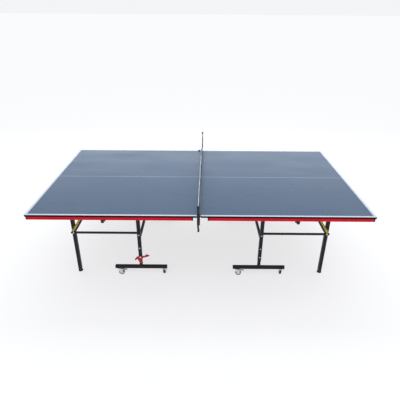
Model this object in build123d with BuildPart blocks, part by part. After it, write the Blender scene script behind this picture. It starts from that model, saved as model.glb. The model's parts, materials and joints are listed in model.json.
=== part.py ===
"""Rollaway table-tennis table: two folding halves and a clamped net set.

Millimetres, +Z up.  The origin is on the floor under the middle of the net, +X runs along
the table towards the right half, and the near side is -Y.  One half is drawn as the left
one; the right half is the same half turned half a turn about Z.
"""

import os

from build123d import *

os.makedirs("parts", exist_ok=True)

# Playing top
TABLE_LENGTH = 2740
TABLE_WIDTH = 1525
TABLE_HEIGHT = 760
BOARD_THICKNESS = 15
SEAM_GAP = 5
BOARD_CORNER = 4
BOARD_EDGE_BREAK = 0.8

# Steel frame under the board
WALL = 1.5
TUBE_CORNER = 3
INSERT_CORNER = 1
APRON_HEIGHT = 30
APRON_DEPTH = 20
APRON_INSET = 5
APRON_NET_END = 57
APRON_OUTER_END = 8
CROSS_RAIL = 25
MID_RAIL_X = 776
END_RAIL_MARGIN = 14
PLUG_FLANGE = 12
PLUG_INSERT = 20
BUMPER_X = 769
BUMPER_LENGTH = 24
BUMPER_WIDTH = 16
BUMPER_DROP = 28
RUBBER_DRAFT = 3

# Folding gear
TROLLEY_X = 536
LINK_LENGTH = 580
PIVOT_REACH = 50
PIVOT_DROP = 60
LINK_HEIGHT = 430
LINK_WIDTH = 21
LINK_THICKNESS = 6
LINK_BAY = 18
PIN_RADIUS = 5
PIN_HEAD_RADIUS = 8
PIN_HEAD = 3
EAR_RADIUS = 14
EAR_THICKNESS = 4
EAR_WELD_HEIGHT = 50
EAR_EDGE = 3
LUG_RADIUS = 12

# Trolley frame and feet
TROLLEY_LEG = 30
TROLLEY_LEG_Y = 507
TROLLEY_LEG_BOTTOM = 165
TROLLEY_CROSS_RADIUS = 13
TROLLEY_CROSS_HEIGHT = 385
LEG_TOP_DROP = 10
UPRIGHT_TOP = 330
FOOT_BAR = 28
FOOT_BAR_LENGTH = 464
FOOT_CAP = 4
BOLT_RADIUS = 4
BOLT_HEAD_RADIUS = 6
BOLT_HEAD = 4
UPPER_BOLT_HEIGHT = 294
LOWER_BOLT_HEIGHT = 203

# Outer leg frame
OUTER_LEG = 30
OUTER_LEG_BOTTOM = 24
OUTER_CROSS_RADIUS = 14
OUTER_CROSS_HEIGHT = 425
END_PLATE = 6
LEVELLING_STEM_RADIUS = 5
LEVELLING_STEM_TOP = 62
LEVELLING_PAD_RADIUS = 20
LEVELLING_PAD_HEIGHT = 12
LEVELLING_NUT_RADIUS = 9
LEVELLING_NUT_HEIGHT = 4

# Yellow release bar
RELEASE_RADIUS = 8
RELEASE_REACH = 26
RELEASE_RISE = 60
RELEASE_END_Y = 584
RELEASE_PLATE = 3
RELEASE_EAR_RADIUS = 10

# Fold latch
LATCH_THICKNESS = 5
LATCH_HUB_RADIUS = 13
LATCH_WASHER = 2
STRIKER_RADIUS = 5
STRIKER_PLATE = 4
STRIKER_RIM = 9
STRIKER_FOOT = 4
STRIKER_FORWARD = 34
STRIKER_ABOVE = 40

# Casters
CASTER_HEADROOM = 22
CASTER_SPACING = 205
WHEEL_RADIUS = 25
WHEEL_WIDTH = 18
WHEEL_HUB_RADIUS = 16
WHEEL_HUB_RECESS = 2.5
WHEEL_BOSS_RADIUS = 8
WHEEL_EDGE = 3
CASTER_TRAIL = 22
CROWN_RADIUS = 15
CROWN_HEIGHT = 9
STEM_RADIUS = 5
STEM_LENGTH = 8
FORK_TOP = 3
FORK_BOSS_RADIUS = 9
FORK_TAIL = 6
AXLE_END = 2
FORK_PLATE = 2.5
AXLE_RADIUS = 4
BRAKE_PIN_RADIUS = 2.5
BRAKE_PIN_OFFSET = 12
BRAKE_PIN_ABOVE_TYRE = 4
BRAKE_HUB = 4
PEDAL_LENGTH = 39
PEDAL_THICKNESS = 4

# Net set
NET_HEIGHT = 152.5
POST_OVERHANG = 152.5
NEAR_POST_X = -17
FAR_POST_X = 20
POST_RADIUS = 7
CLAMP_WIDTH = 24
CLAMP_X = -15
CLAMP_JAW = 3.5
CLAMP_REACH = 42
CLAMP_WEB = 4
CLAMP_DEPTH = 55
CLAMP_ARM = 8
GUSSET_RISE = 8
GUSSET_DROP = 40
SCREW_RADIUS = 5
SCREW_PAD_RADIUS = 9
SCREW_PAD_HEIGHT = 5
KNOB_RADIUS = 8
KNOB_HEIGHT = 30
KNOB_DROP = 137
KNOB_EDGE = 2
MESH_THICKNESS = 2
TAPE_HEIGHT = 15
TAPE_THICKNESS = 4

# Fits
RUNNING_FIT = 0.1
LOOSE_FIT = 0.3
FIXED_FIT = 0.15
SLIDING_FIT = 0.5
FREE_GAP = 1
WHEEL_GAP = 1.5
CROWN_GAP = 2
JAW_GAP = 2.5

# Worked-out places of the left half
PIVOT_HEIGHT = TABLE_HEIGHT - PIVOT_DROP
LEG_TOP = PIVOT_HEIGHT - LEG_TOP_DROP
CASTER_HEIGHT = 2 * WHEEL_RADIUS + CASTER_HEADROOM
BOARD_TOP = TABLE_HEIGHT
BOARD_BOTTOM = TABLE_HEIGHT - BOARD_THICKNESS
BOARD_OUTER_X = -TABLE_LENGTH / 2
BOARD_LENGTH = (TABLE_LENGTH - SEAM_GAP) / 2
BOARD_EDGE_Y = TABLE_WIDTH / 2
APRON_FACE_Y = BOARD_EDGE_Y - APRON_INSET
APRON_BOTTOM = BOARD_BOTTOM - APRON_HEIGHT
APRON_TUBE_OUTER_X = BOARD_OUTER_X + APRON_OUTER_END + PLUG_FLANGE
APRON_TUBE_NET_X = -APRON_NET_END - PLUG_FLANGE
RAIL_MID_Z = BOARD_BOTTOM - CROSS_RAIL / 2
RAIL_BOTTOM = BOARD_BOTTOM - CROSS_RAIL
LEG_X = -TROLLEY_X
OUTER_X = LEG_X - LINK_LENGTH
TOP_PIVOT_X = LEG_X + PIVOT_REACH
OUTER_PIVOT_X = OUTER_X + PIVOT_REACH
NET_RAIL_X = APRON_TUBE_NET_X - CROSS_RAIL / 2
END_RAIL_X = APRON_TUBE_OUTER_X + END_RAIL_MARGIN
FOOT_BAR_TOP = CASTER_HEIGHT + FOOT_BAR
UPRIGHT = TROLLEY_LEG - 2 * WALL - 2 * SLIDING_FIT
TROLLEY_LEG_INNER_Y = TROLLEY_LEG_Y - TROLLEY_LEG / 2
TROLLEY_LEG_OUTER_Y = TROLLEY_LEG_Y + TROLLEY_LEG / 2
OUTER_LEG_FACE_Y = TROLLEY_LEG_INNER_Y - LINK_BAY
OUTER_LEG_Y = OUTER_LEG_FACE_Y - OUTER_LEG / 2
OUTER_LEG_INNER_Y = OUTER_LEG_FACE_Y - OUTER_LEG
LINK_Y = OUTER_LEG_FACE_Y + (LINK_BAY - LINK_THICKNESS) / 2
LINK_FACE_Y = LINK_Y + LINK_THICKNESS
LATCH_Y = TROLLEY_LEG_OUTER_Y + LATCH_WASHER
LATCH_FACE_Y = LATCH_Y + LATCH_THICKNESS
STRIKER_X = -(LOWER_BOLT_HEIGHT + STRIKER_ABOVE - PIVOT_HEIGHT - TOP_PIVOT_X)
STRIKER_Z = PIVOT_HEIGHT + LEG_X + STRIKER_FORWARD - TOP_PIVOT_X
STRIKER_PLATE_Y = LATCH_FACE_Y + BOLT_HEAD + LATCH_WASHER
NET_TOP = TABLE_HEIGHT + NET_HEIGHT
POST_Y = BOARD_EDGE_Y + POST_OVERHANG
CLAMP_WEB_Y = BOARD_EDGE_Y + JAW_GAP
SCREW_Y = CLAMP_WEB_Y - CLAMP_REACH / 2
CLAMP_ARM_TOP = BOARD_BOTTOM - CLAMP_DEPTH
KNOB_BOTTOM = BOARD_BOTTOM - KNOB_DROP
BRAKE_PIN_X = CASTER_TRAIL + BRAKE_PIN_OFFSET
BRAKE_PIN_Z = 2 * WHEEL_RADIUS + BRAKE_PIN_ABOVE_TYRE
PEDAL_END = BRAKE_PIN_X + PEDAL_LENGTH
FORK_INNER = WHEEL_WIDTH / 2 + WHEEL_GAP
FORK_OUTER = FORK_INNER + FORK_PLATE
CROWN_BOTTOM = CASTER_HEIGHT - CROWN_GAP - CROWN_HEIGHT
HALVES = (("left", 0, ("near", "far")), ("right", 180, ("far", "near")))


def tube_section(width, height):
    """Draw a hollow square or rectangular tube section in the open sketch."""
    RectangleRounded(width, height, TUBE_CORNER)
    RectangleRounded(width - 2 * WALL, height - 2 * WALL, TUBE_CORNER - WALL, mode=Mode.SUBTRACT)


def bar_along_y(x, z, start, end, radius, mode=Mode.ADD):
    """Add a round bar on the near side, from start to end measured out from the middle."""
    with Locations((x, -(start + end) / 2, z)):
        Cylinder(radius, end - start, rotation=(90, 0, 0), mode=mode)


half_pieces = {}

# Board: 15 mm playing board of one half
with BuildPart() as board:
    with BuildSketch(Plane.XY.offset(BOARD_BOTTOM)):
        with Locations((BOARD_OUTER_X + BOARD_LENGTH / 2, 0)):
            RectangleRounded(BOARD_LENGTH, TABLE_WIDTH, BOARD_CORNER)
    extrude(amount=BOARD_THICKNESS)
    chamfer(board.faces().sort_by(Axis.Z)[-1].edges(), BOARD_EDGE_BREAK)
half_pieces["board"] = board

# Side rails: the coloured apron tubes along both sides of the board
with BuildPart() as side_rails:
    with BuildSketch(Plane.YZ.offset(APRON_TUBE_OUTER_X)):
        with Locations((-APRON_FACE_Y + APRON_DEPTH / 2, BOARD_BOTTOM - APRON_HEIGHT / 2)):
            tube_section(APRON_DEPTH, APRON_HEIGHT)
    extrude(amount=APRON_TUBE_NET_X - APRON_TUBE_OUTER_X)
    mirror(about=Plane.XZ)
half_pieces["side_rails"] = side_rails

# Cross rails: welded between the side rails, under the board
with BuildPart() as cross_rails:
    with BuildSketch(Plane.XZ):
        for rail_x in (NET_RAIL_X, TOP_PIVOT_X, -MID_RAIL_X, OUTER_PIVOT_X, END_RAIL_X):
            with Locations((rail_x, RAIL_MID_Z)):
                tube_section(CROSS_RAIL, CROSS_RAIL)
    extrude(amount=APRON_FACE_Y - APRON_DEPTH, both=True)
half_pieces["cross_rails"] = cross_rails

# Rail plugs: plastic ends of the side rails
with BuildPart() as rail_plugs:
    plug_y = -APRON_FACE_Y + APRON_DEPTH / 2
    plug_z = BOARD_BOTTOM - APRON_HEIGHT / 2
    insert_depth = APRON_DEPTH - 2 * WALL - 2 * FIXED_FIT
    insert_height = APRON_HEIGHT - 2 * WALL - 2 * FIXED_FIT
    for end_x, outward in ((APRON_TUBE_OUTER_X, -1), (APRON_TUBE_NET_X, 1)):
        with BuildSketch(Plane.YZ.offset(end_x)):
            with Locations((plug_y, plug_z)):
                RectangleRounded(APRON_DEPTH, APRON_HEIGHT, TUBE_CORNER)
        extrude(amount=outward * PLUG_FLANGE)
        with BuildSketch(Plane.YZ.offset(end_x)):
            with Locations((plug_y, plug_z)):
                RectangleRounded(insert_depth, insert_height, INSERT_CORNER)
        extrude(amount=-outward * PLUG_INSERT)
    mirror(about=Plane.XZ)
half_pieces["rail_plugs"] = rail_plugs

# Frame lugs: four pivot lugs and the latch striker, welded under the cross rails
with BuildPart() as frame_lugs:
    for leg_y, leg_width, pivot_x in (
        (TROLLEY_LEG_Y, TROLLEY_LEG, TOP_PIVOT_X),
        (OUTER_LEG_Y, OUTER_LEG, OUTER_PIVOT_X),
    ):
        with BuildSketch(Plane.XZ.offset(leg_y - leg_width / 2 + FREE_GAP)):
            with Locations((pivot_x, PIVOT_HEIGHT)):
                Circle(LUG_RADIUS)
            with Locations((pivot_x, (PIVOT_HEIGHT + RAIL_BOTTOM) / 2)):
                Rectangle(2 * LUG_RADIUS, RAIL_BOTTOM - PIVOT_HEIGHT)
            with Locations((pivot_x, PIVOT_HEIGHT)):
                Circle(PIN_RADIUS + RUNNING_FIT, mode=Mode.SUBTRACT)
        extrude(amount=leg_width - 2 * FREE_GAP)
    mirror(about=Plane.XZ)
    with BuildSketch(Plane.XZ.offset(STRIKER_PLATE_Y)):
        with Locations((STRIKER_X, STRIKER_Z)):
            Circle(STRIKER_RIM)
        with Locations((NET_RAIL_X, RAIL_BOTTOM - STRIKER_FOOT / 2)):
            Rectangle(CROSS_RAIL, STRIKER_FOOT)
        make_hull()
    extrude(amount=STRIKER_PLATE)
    striker_end = STRIKER_PLATE_Y + STRIKER_PLATE
    bar_along_y(STRIKER_X, STRIKER_Z, TROLLEY_LEG_OUTER_Y, striker_end, STRIKER_RADIUS)
half_pieces["frame_lugs"] = frame_lugs

# Bumpers: rubber blocks under the side rails
with BuildPart() as bumpers:
    with BuildSketch(Plane.XY.offset(APRON_BOTTOM)):
        with Locations((-BUMPER_X, -APRON_FACE_Y + APRON_DEPTH / 2)):
            RectangleRounded(BUMPER_LENGTH, BUMPER_WIDTH, TUBE_CORNER)
    extrude(amount=-BUMPER_DROP, taper=RUBBER_DRAFT)
    mirror(about=Plane.XZ)
half_pieces["bumpers"] = bumpers

# Trolley frame: two legs, their pivot ears and the cross tube, welded
with BuildPart() as trolley_frame:
    with BuildSketch(Plane.XY.offset(TROLLEY_LEG_BOTTOM)):
        with Locations((LEG_X, -TROLLEY_LEG_Y)):
            tube_section(TROLLEY_LEG, TROLLEY_LEG)
    extrude(amount=LEG_TOP - TROLLEY_LEG_BOTTOM)
    for ear_y in (TROLLEY_LEG_INNER_Y - EAR_THICKNESS, TROLLEY_LEG_OUTER_Y):
        with BuildSketch(Plane.XZ.offset(ear_y)):
            with Locations((TOP_PIVOT_X, PIVOT_HEIGHT)):
                Circle(EAR_RADIUS)
            with Locations((LEG_X, LEG_TOP - EAR_WELD_HEIGHT / 2)):
                Rectangle(TROLLEY_LEG - 2 * EAR_EDGE, EAR_WELD_HEIGHT)
            make_hull()
            with Locations((TOP_PIVOT_X, PIVOT_HEIGHT)):
                Circle(PIN_RADIUS + FIXED_FIT, mode=Mode.SUBTRACT)
        extrude(amount=EAR_THICKNESS)
    for hole_z, hole_radius in (
        (LINK_HEIGHT, PIN_RADIUS),
        (UPPER_BOLT_HEIGHT, BOLT_RADIUS),
        (LOWER_BOLT_HEIGHT, BOLT_RADIUS),
    ):
        drill = hole_radius + FIXED_FIT
        bar_along_y(LEG_X, hole_z, TROLLEY_LEG_INNER_Y - 1, TROLLEY_LEG_OUTER_Y + 1, drill, Mode.SUBTRACT)
    mirror(about=Plane.XZ)
    with BuildSketch(Plane.XZ):
        with Locations((LEG_X, TROLLEY_CROSS_HEIGHT)):
            Circle(TROLLEY_CROSS_RADIUS)
            Circle(TROLLEY_CROSS_RADIUS - WALL, mode=Mode.SUBTRACT)
    extrude(amount=TROLLEY_LEG_INNER_Y + WALL / 2, both=True)
half_pieces["trolley_frame"] = trolley_frame

# Trolley feet: a floor bar, an upright that slips into the leg and two caster stems, each side
with BuildPart() as trolley_feet:
    with BuildSketch(Plane.YZ.offset(LEG_X - FOOT_BAR_LENGTH / 2)):
        with Locations((-TROLLEY_LEG_Y, CASTER_HEIGHT + FOOT_BAR / 2)):
            tube_section(FOOT_BAR, FOOT_BAR)
    extrude(amount=FOOT_BAR_LENGTH)
    with BuildSketch(Plane.XY.offset(FOOT_BAR_TOP - WALL / 2)):
        with Locations((LEG_X, -TROLLEY_LEG_Y)):
            tube_section(UPRIGHT, UPRIGHT)
    extrude(amount=UPRIGHT_TOP - FOOT_BAR_TOP + WALL / 2)
    for hole_z in (UPPER_BOLT_HEIGHT, LOWER_BOLT_HEIGHT):
        drill = BOLT_RADIUS + FIXED_FIT
        bar_along_y(LEG_X, hole_z, TROLLEY_LEG_INNER_Y, TROLLEY_LEG_OUTER_Y, drill, Mode.SUBTRACT)
    with BuildSketch(Plane.XY.offset(CASTER_HEIGHT - STEM_LENGTH)):
        with Locations(
            (LEG_X - CASTER_SPACING, -TROLLEY_LEG_Y), (LEG_X + CASTER_SPACING, -TROLLEY_LEG_Y)
        ):
            Circle(STEM_RADIUS)
    extrude(amount=STEM_LENGTH + WALL / 2)
    mirror(about=Plane.XZ)
half_pieces["trolley_feet"] = trolley_feet

# Foot caps: plastic ends of the floor bars
with BuildPart() as foot_caps:
    cap_insert = FOOT_BAR - 2 * WALL - 2 * FIXED_FIT
    for outward in (-1, 1):
        cap_x = LEG_X + outward * FOOT_BAR_LENGTH / 2
        with BuildSketch(Plane.YZ.offset(cap_x)):
            with Locations((-TROLLEY_LEG_Y, CASTER_HEIGHT + FOOT_BAR / 2)):
                RectangleRounded(FOOT_BAR, FOOT_BAR, TUBE_CORNER)
        extrude(amount=outward * FOOT_CAP)
        with BuildSketch(Plane.YZ.offset(cap_x)):
            with Locations((-TROLLEY_LEG_Y, CASTER_HEIGHT + FOOT_BAR / 2)):
                RectangleRounded(cap_insert, cap_insert, INSERT_CORNER)
        extrude(amount=-outward * PLUG_INSERT)
    mirror(about=Plane.XZ)
half_pieces["foot_caps"] = foot_caps

# Trolley bolts: top pivot pins, link pins and the bolts that join legs to feet
with BuildPart() as trolley_bolts:
    ear_inner = TROLLEY_LEG_INNER_Y - EAR_THICKNESS
    ear_outer = TROLLEY_LEG_OUTER_Y + EAR_THICKNESS
    bar_along_y(TOP_PIVOT_X, PIVOT_HEIGHT, ear_inner - PIN_HEAD, ear_outer + PIN_HEAD, PIN_RADIUS)
    bar_along_y(TOP_PIVOT_X, PIVOT_HEIGHT, ear_inner - PIN_HEAD, ear_inner, PIN_HEAD_RADIUS)
    bar_along_y(TOP_PIVOT_X, PIVOT_HEIGHT, ear_outer, ear_outer + PIN_HEAD, PIN_HEAD_RADIUS)
    bar_along_y(LEG_X, LINK_HEIGHT, LINK_Y - PIN_HEAD, TROLLEY_LEG_OUTER_Y + BOLT_HEAD, PIN_RADIUS)
    bar_along_y(LEG_X, LINK_HEIGHT, LINK_Y - PIN_HEAD, LINK_Y - LOOSE_FIT, PIN_HEAD_RADIUS)
    bar_along_y(LEG_X, LINK_HEIGHT, LINK_FACE_Y + LOOSE_FIT, TROLLEY_LEG_INNER_Y, PIN_HEAD_RADIUS)
    bar_along_y(
        LEG_X, LINK_HEIGHT, TROLLEY_LEG_OUTER_Y, TROLLEY_LEG_OUTER_Y + BOLT_HEAD, BOLT_HEAD_RADIUS
    )
    for bolt_z in (UPPER_BOLT_HEIGHT, LOWER_BOLT_HEIGHT):
        for head_y in (TROLLEY_LEG_INNER_Y - BOLT_HEAD, TROLLEY_LEG_OUTER_Y):
            bar_along_y(LEG_X, bolt_z, head_y, head_y + BOLT_HEAD, BOLT_HEAD_RADIUS)
        bar_along_y(LEG_X, bolt_z, TROLLEY_LEG_INNER_Y, TROLLEY_LEG_OUTER_Y, BOLT_RADIUS)
    mirror(about=Plane.XZ)
    bolt_end = LATCH_FACE_Y + LOOSE_FIT
    bar_along_y(LEG_X, LOWER_BOLT_HEIGHT, TROLLEY_LEG_OUTER_Y, bolt_end + BOLT_HEAD, BOLT_HEAD_RADIUS)
    bar_along_y(LEG_X, LOWER_BOLT_HEIGHT, bolt_end, bolt_end + BOLT_HEAD, PIN_HEAD_RADIUS)
half_pieces["trolley_bolts"] = trolley_bolts

# Outer leg frame: two legs with pivot ears, threaded end plates and the cross tube
with BuildPart() as outer_frame:
    with BuildSketch(Plane.XY.offset(OUTER_LEG_BOTTOM)):
        with Locations((OUTER_X, -OUTER_LEG_Y)):
            tube_section(OUTER_LEG, OUTER_LEG)
    extrude(amount=LEG_TOP - OUTER_LEG_BOTTOM)
    with BuildSketch(Plane.XY.offset(OUTER_LEG_BOTTOM)):
        with Locations((OUTER_X, -OUTER_LEG_Y)):
            RectangleRounded(OUTER_LEG, OUTER_LEG, TUBE_CORNER)
            Circle(LEVELLING_STEM_RADIUS + RUNNING_FIT, mode=Mode.SUBTRACT)
    extrude(amount=END_PLATE)
    for ear_y in (OUTER_LEG_INNER_Y - EAR_THICKNESS, OUTER_LEG_FACE_Y):
        with BuildSketch(Plane.XZ.offset(ear_y)):
            with Locations((OUTER_PIVOT_X, PIVOT_HEIGHT)):
                Circle(EAR_RADIUS)
            with Locations((OUTER_X, LEG_TOP - EAR_WELD_HEIGHT / 2)):
                Rectangle(OUTER_LEG - 2 * EAR_EDGE, EAR_WELD_HEIGHT)
            make_hull()
            with Locations((OUTER_PIVOT_X, PIVOT_HEIGHT)):
                Circle(PIN_RADIUS + FIXED_FIT, mode=Mode.SUBTRACT)
        extrude(amount=EAR_THICKNESS)
    drill = PIN_RADIUS + FIXED_FIT
    bar_along_y(OUTER_X, LINK_HEIGHT, OUTER_LEG_Y, OUTER_LEG_FACE_Y + 1, drill, Mode.SUBTRACT)
    mirror(about=Plane.XZ)
    with BuildSketch(Plane.XZ):
        with Locations((OUTER_X, OUTER_CROSS_HEIGHT)):
            Circle(OUTER_CROSS_RADIUS)
            Circle(OUTER_CROSS_RADIUS - WALL, mode=Mode.SUBTRACT)
    extrude(amount=OUTER_LEG_INNER_Y + WALL / 2, both=True)
half_pieces["outer_frame"] = outer_frame

# Outer pins: leg-top pivot pins and the shoulder pins of links and release bar
release_y = LINK_FACE_Y + FREE_GAP
release_face_y = release_y + RELEASE_PLATE
with BuildPart() as outer_pins:
    ear_inner = OUTER_LEG_INNER_Y - EAR_THICKNESS
    ear_outer = OUTER_LEG_FACE_Y + EAR_THICKNESS
    bar_along_y(OUTER_PIVOT_X, PIVOT_HEIGHT, ear_inner - PIN_HEAD, ear_outer + PIN_HEAD, PIN_RADIUS)
    bar_along_y(OUTER_PIVOT_X, PIVOT_HEIGHT, ear_inner - PIN_HEAD, ear_inner, PIN_HEAD_RADIUS)
    bar_along_y(OUTER_PIVOT_X, PIVOT_HEIGHT, ear_outer, ear_outer + PIN_HEAD, PIN_HEAD_RADIUS)
    pin_end = release_face_y + LOOSE_FIT
    bar_along_y(OUTER_X, LINK_HEIGHT, OUTER_LEG_Y + FREE_GAP, pin_end, PIN_RADIUS)
    bar_along_y(OUTER_X, LINK_HEIGHT, OUTER_LEG_FACE_Y, LINK_Y - LOOSE_FIT, PIN_HEAD_RADIUS)
    bar_along_y(OUTER_X, LINK_HEIGHT, pin_end, pin_end + PIN_HEAD, PIN_HEAD_RADIUS)
    mirror(about=Plane.XZ)
half_pieces["outer_pins"] = outer_pins

# Link bars: the flat bars that keep the outer legs upright as the top folds
with BuildPart() as link_bars:
    with BuildSketch(Plane.XZ.offset(LINK_Y)):
        with Locations(((LEG_X + OUTER_X) / 2, LINK_HEIGHT)):
            SlotCenterToCenter(LINK_LENGTH, LINK_WIDTH)
        with Locations((LEG_X, LINK_HEIGHT)):
            Circle(PIN_RADIUS + RUNNING_FIT, mode=Mode.SUBTRACT)
        with Locations((OUTER_X, LINK_HEIGHT)):
            Circle(PIN_RADIUS + LOOSE_FIT, mode=Mode.SUBTRACT)
    extrude(amount=LINK_THICKNESS)
    mirror(about=Plane.XZ)
half_pieces["link_bars"] = link_bars

# Release bar: a long round bar across both outer legs, on plates that turn on the link pins
with BuildPart() as release_bar:
    with BuildSketch(Plane.XZ.offset(release_y)):
        with Locations((OUTER_X, LINK_HEIGHT)):
            Circle(RELEASE_EAR_RADIUS)
        with Locations((OUTER_X + RELEASE_REACH, LINK_HEIGHT + RELEASE_RISE)):
            Circle(RELEASE_RADIUS)
        make_hull()
        with Locations((OUTER_X, LINK_HEIGHT)):
            Circle(PIN_RADIUS + RUNNING_FIT, mode=Mode.SUBTRACT)
    extrude(amount=RELEASE_PLATE)
    mirror(about=Plane.XZ)
    with BuildSketch(Plane.XZ):
        with Locations((OUTER_X + RELEASE_REACH, LINK_HEIGHT + RELEASE_RISE)):
            Circle(RELEASE_RADIUS)
    extrude(amount=RELEASE_END_Y, both=True)
    with BuildSketch(Plane.XZ):
        with Locations((OUTER_X + RELEASE_REACH, LINK_HEIGHT + RELEASE_RISE)):
            Circle(RELEASE_RADIUS - WALL)
    extrude(amount=RELEASE_END_Y, both=True, mode=Mode.SUBTRACT)
half_pieces["release_bar"] = release_bar

# Latch lever: hooks over the striker of the folded top; drawn from its own pivot
latch_plane = Plane((LEG_X, -LATCH_Y, LOWER_BOLT_HEIGHT), x_dir=(1, 0, 0), z_dir=(0, -1, 0))
with BuildPart() as latch_lever:
    with BuildSketch(latch_plane):
        with BuildLine():
            claw = ThreePointArc((-14, 11), (-36, -4), (-52, -30))
            Polyline(claw @ 1, (-44, -35), (-28, -20), (-6, -66), (20, -66), (18, -11))
            Polyline((18, -11), (76, 8), (86, 15), (53, 32), (47, 17), (14, 7), (2, 13), claw @ 0)
        make_face()
        Circle(LATCH_HUB_RADIUS)
        Circle(BOLT_HEAD_RADIUS + RUNNING_FIT, mode=Mode.SUBTRACT)
    extrude(amount=LATCH_THICKNESS)
half_pieces["latch_lever"] = latch_lever

# Levelling feet: rubber pads on threaded stems, under the outer legs
for side, sign in (("near", -1), ("far", 1)):
    with BuildPart() as levelling_foot:
        with BuildSketch():
            with Locations((OUTER_X, sign * OUTER_LEG_Y)):
                Circle(LEVELLING_PAD_RADIUS)
        extrude(amount=LEVELLING_PAD_HEIGHT, taper=RUBBER_DRAFT)
        with BuildSketch(Plane.XY.offset(LEVELLING_PAD_HEIGHT)):
            with Locations((OUTER_X, sign * OUTER_LEG_Y)):
                RegularPolygon(LEVELLING_NUT_RADIUS, 6)
        extrude(amount=LEVELLING_NUT_HEIGHT)
        with BuildSketch(Plane.XY.offset(LEVELLING_PAD_HEIGHT)):
            with Locations((OUTER_X, sign * OUTER_LEG_Y)):
                Circle(LEVELLING_STEM_RADIUS)
        extrude(amount=LEVELLING_STEM_TOP - LEVELLING_PAD_HEIGHT)
    half_pieces[f"{side}_levelling_foot"] = levelling_foot

# Casters, drawn with the swivel axis on Z and the wheel trailing along +X
forks = {}
for braked in (False, True):
    fork_front = BRAKE_PIN_X if braked else CASTER_TRAIL + AXLE_END
    fork_middle = (fork_front - FORK_TAIL) / 2
    with BuildPart() as fork:
        with BuildSketch(Plane.XY.offset(CROWN_BOTTOM)):
            Circle(CROWN_RADIUS)
        extrude(amount=CROWN_HEIGHT)
        with BuildSketch(Plane.XY.offset(CROWN_BOTTOM)):
            with Locations((fork_middle, 0)):
                Rectangle(fork_front + FORK_TAIL, 2 * FORK_OUTER)
        extrude(amount=FORK_TOP)
        for plate_y in (FORK_INNER, -FORK_OUTER):
            with BuildSketch(Plane.XZ.offset(plate_y)):
                with Locations((CASTER_TRAIL, WHEEL_RADIUS)):
                    Circle(FORK_BOSS_RADIUS)
                with Locations((fork_middle, CROWN_BOTTOM)):
                    Rectangle(fork_front + FORK_TAIL, 2 * FORK_TOP)
                make_hull()
            extrude(amount=FORK_PLATE)
        with BuildSketch(Plane.XY.offset(CASTER_HEIGHT - STEM_LENGTH)):
            Circle(STEM_RADIUS + RUNNING_FIT)
        extrude(amount=STEM_LENGTH, mode=Mode.SUBTRACT)
        with Locations((CASTER_TRAIL, 0, WHEEL_RADIUS)):
            Cylinder(AXLE_RADIUS, 2 * (FORK_OUTER + AXLE_END), rotation=(90, 0, 0))
        if braked:
            with Locations((BRAKE_PIN_X, 0, BRAKE_PIN_Z)):
                Cylinder(BRAKE_PIN_RADIUS, 2 * (FORK_OUTER + AXLE_END / 2), rotation=(90, 0, 0))
    forks[braked] = fork

with BuildPart() as wheel:
    with BuildSketch(Plane.XZ):
        with Locations((CASTER_TRAIL, WHEEL_RADIUS)):
            Circle(WHEEL_RADIUS)
    extrude(amount=WHEEL_WIDTH / 2, both=True)
    fillet(wheel.edges(), WHEEL_EDGE)
    recess_y = (WHEEL_WIDTH - WHEEL_HUB_RECESS) / 2
    with Locations((CASTER_TRAIL, -recess_y, WHEEL_RADIUS), (CASTER_TRAIL, recess_y, WHEEL_RADIUS)):
        Cylinder(WHEEL_HUB_RADIUS, WHEEL_HUB_RECESS, rotation=(90, 0, 0), mode=Mode.SUBTRACT)
        Cylinder(WHEEL_BOSS_RADIUS, WHEEL_HUB_RECESS, rotation=(90, 0, 0))
    with Locations((CASTER_TRAIL, 0, WHEEL_RADIUS)):
        Cylinder(AXLE_RADIUS + RUNNING_FIT, WHEEL_WIDTH, rotation=(90, 0, 0), mode=Mode.SUBTRACT)

with BuildPart() as brake:
    hub_left, hub_right = BRAKE_PIN_X - BRAKE_HUB, BRAKE_PIN_X + BRAKE_HUB + FREE_GAP
    hub_bottom, hub_top = BRAKE_PIN_Z - BRAKE_HUB - FREE_GAP, BRAKE_PIN_Z + BRAKE_HUB
    with BuildSketch(Plane.XZ):
        with BuildLine():
            Polyline(
                (hub_left, hub_bottom + FREE_GAP), (hub_right, hub_bottom), (PEDAL_END, hub_bottom),
                (PEDAL_END, hub_bottom + PEDAL_THICKNESS), (hub_right, hub_top), (hub_left, hub_top),
                close=True,
            )
        make_face()
        with Locations((BRAKE_PIN_X, BRAKE_PIN_Z)):
            Circle(BRAKE_PIN_RADIUS + RUNNING_FIT, mode=Mode.SUBTRACT)
    extrude(amount=FORK_INNER - FREE_GAP, both=True)

# Row (0 is the lever's side), end, outward direction, heading of the trailing wheel, braked
CASTERS = (
    (0, "outer", -1, 0, True),
    (0, "inner", 1, 75, False),
    (1, "inner", 1, 180, True),
    (1, "outer", -1, 265, False),
)

# Every piece of a half, placed for the left half and turned for the right half
for half, turn, sides in HALVES:
    side_names = {"near": sides[0], "far": sides[1]}
    for name, piece in half_pieces.items():
        first, _, rest = name.partition("_")
        label = f"{half}_{side_names[first]}_{rest}" if first in side_names else f"{half}_{name}"
        with BuildPart() as placed:
            add(piece.part, rotation=(0, 0, turn))
        placed.part.label = label
        export_step(placed.part, f"parts/{label}.step")
    for row, end, outward, heading, braked in CASTERS:
        corner = f"{half}_{sides[row]}_{end}_caster"
        row_y = TROLLEY_LEG_Y if row else -TROLLEY_LEG_Y
        pieces = {"fork": forks[braked], "wheel": wheel}
        if braked:
            pieces["brake"] = brake
        for name, piece in pieces.items():
            with BuildPart() as at_corner:
                with Locations((LEG_X + outward * CASTER_SPACING, row_y, 0)):
                    add(piece.part, rotation=(0, 0, heading))
            with BuildPart() as placed:
                add(at_corner.part, rotation=(0, 0, turn))
            placed.part.label = f"{corner}_{name}"
            export_step(placed.part, f"parts/{corner}_{name}.step")

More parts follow.
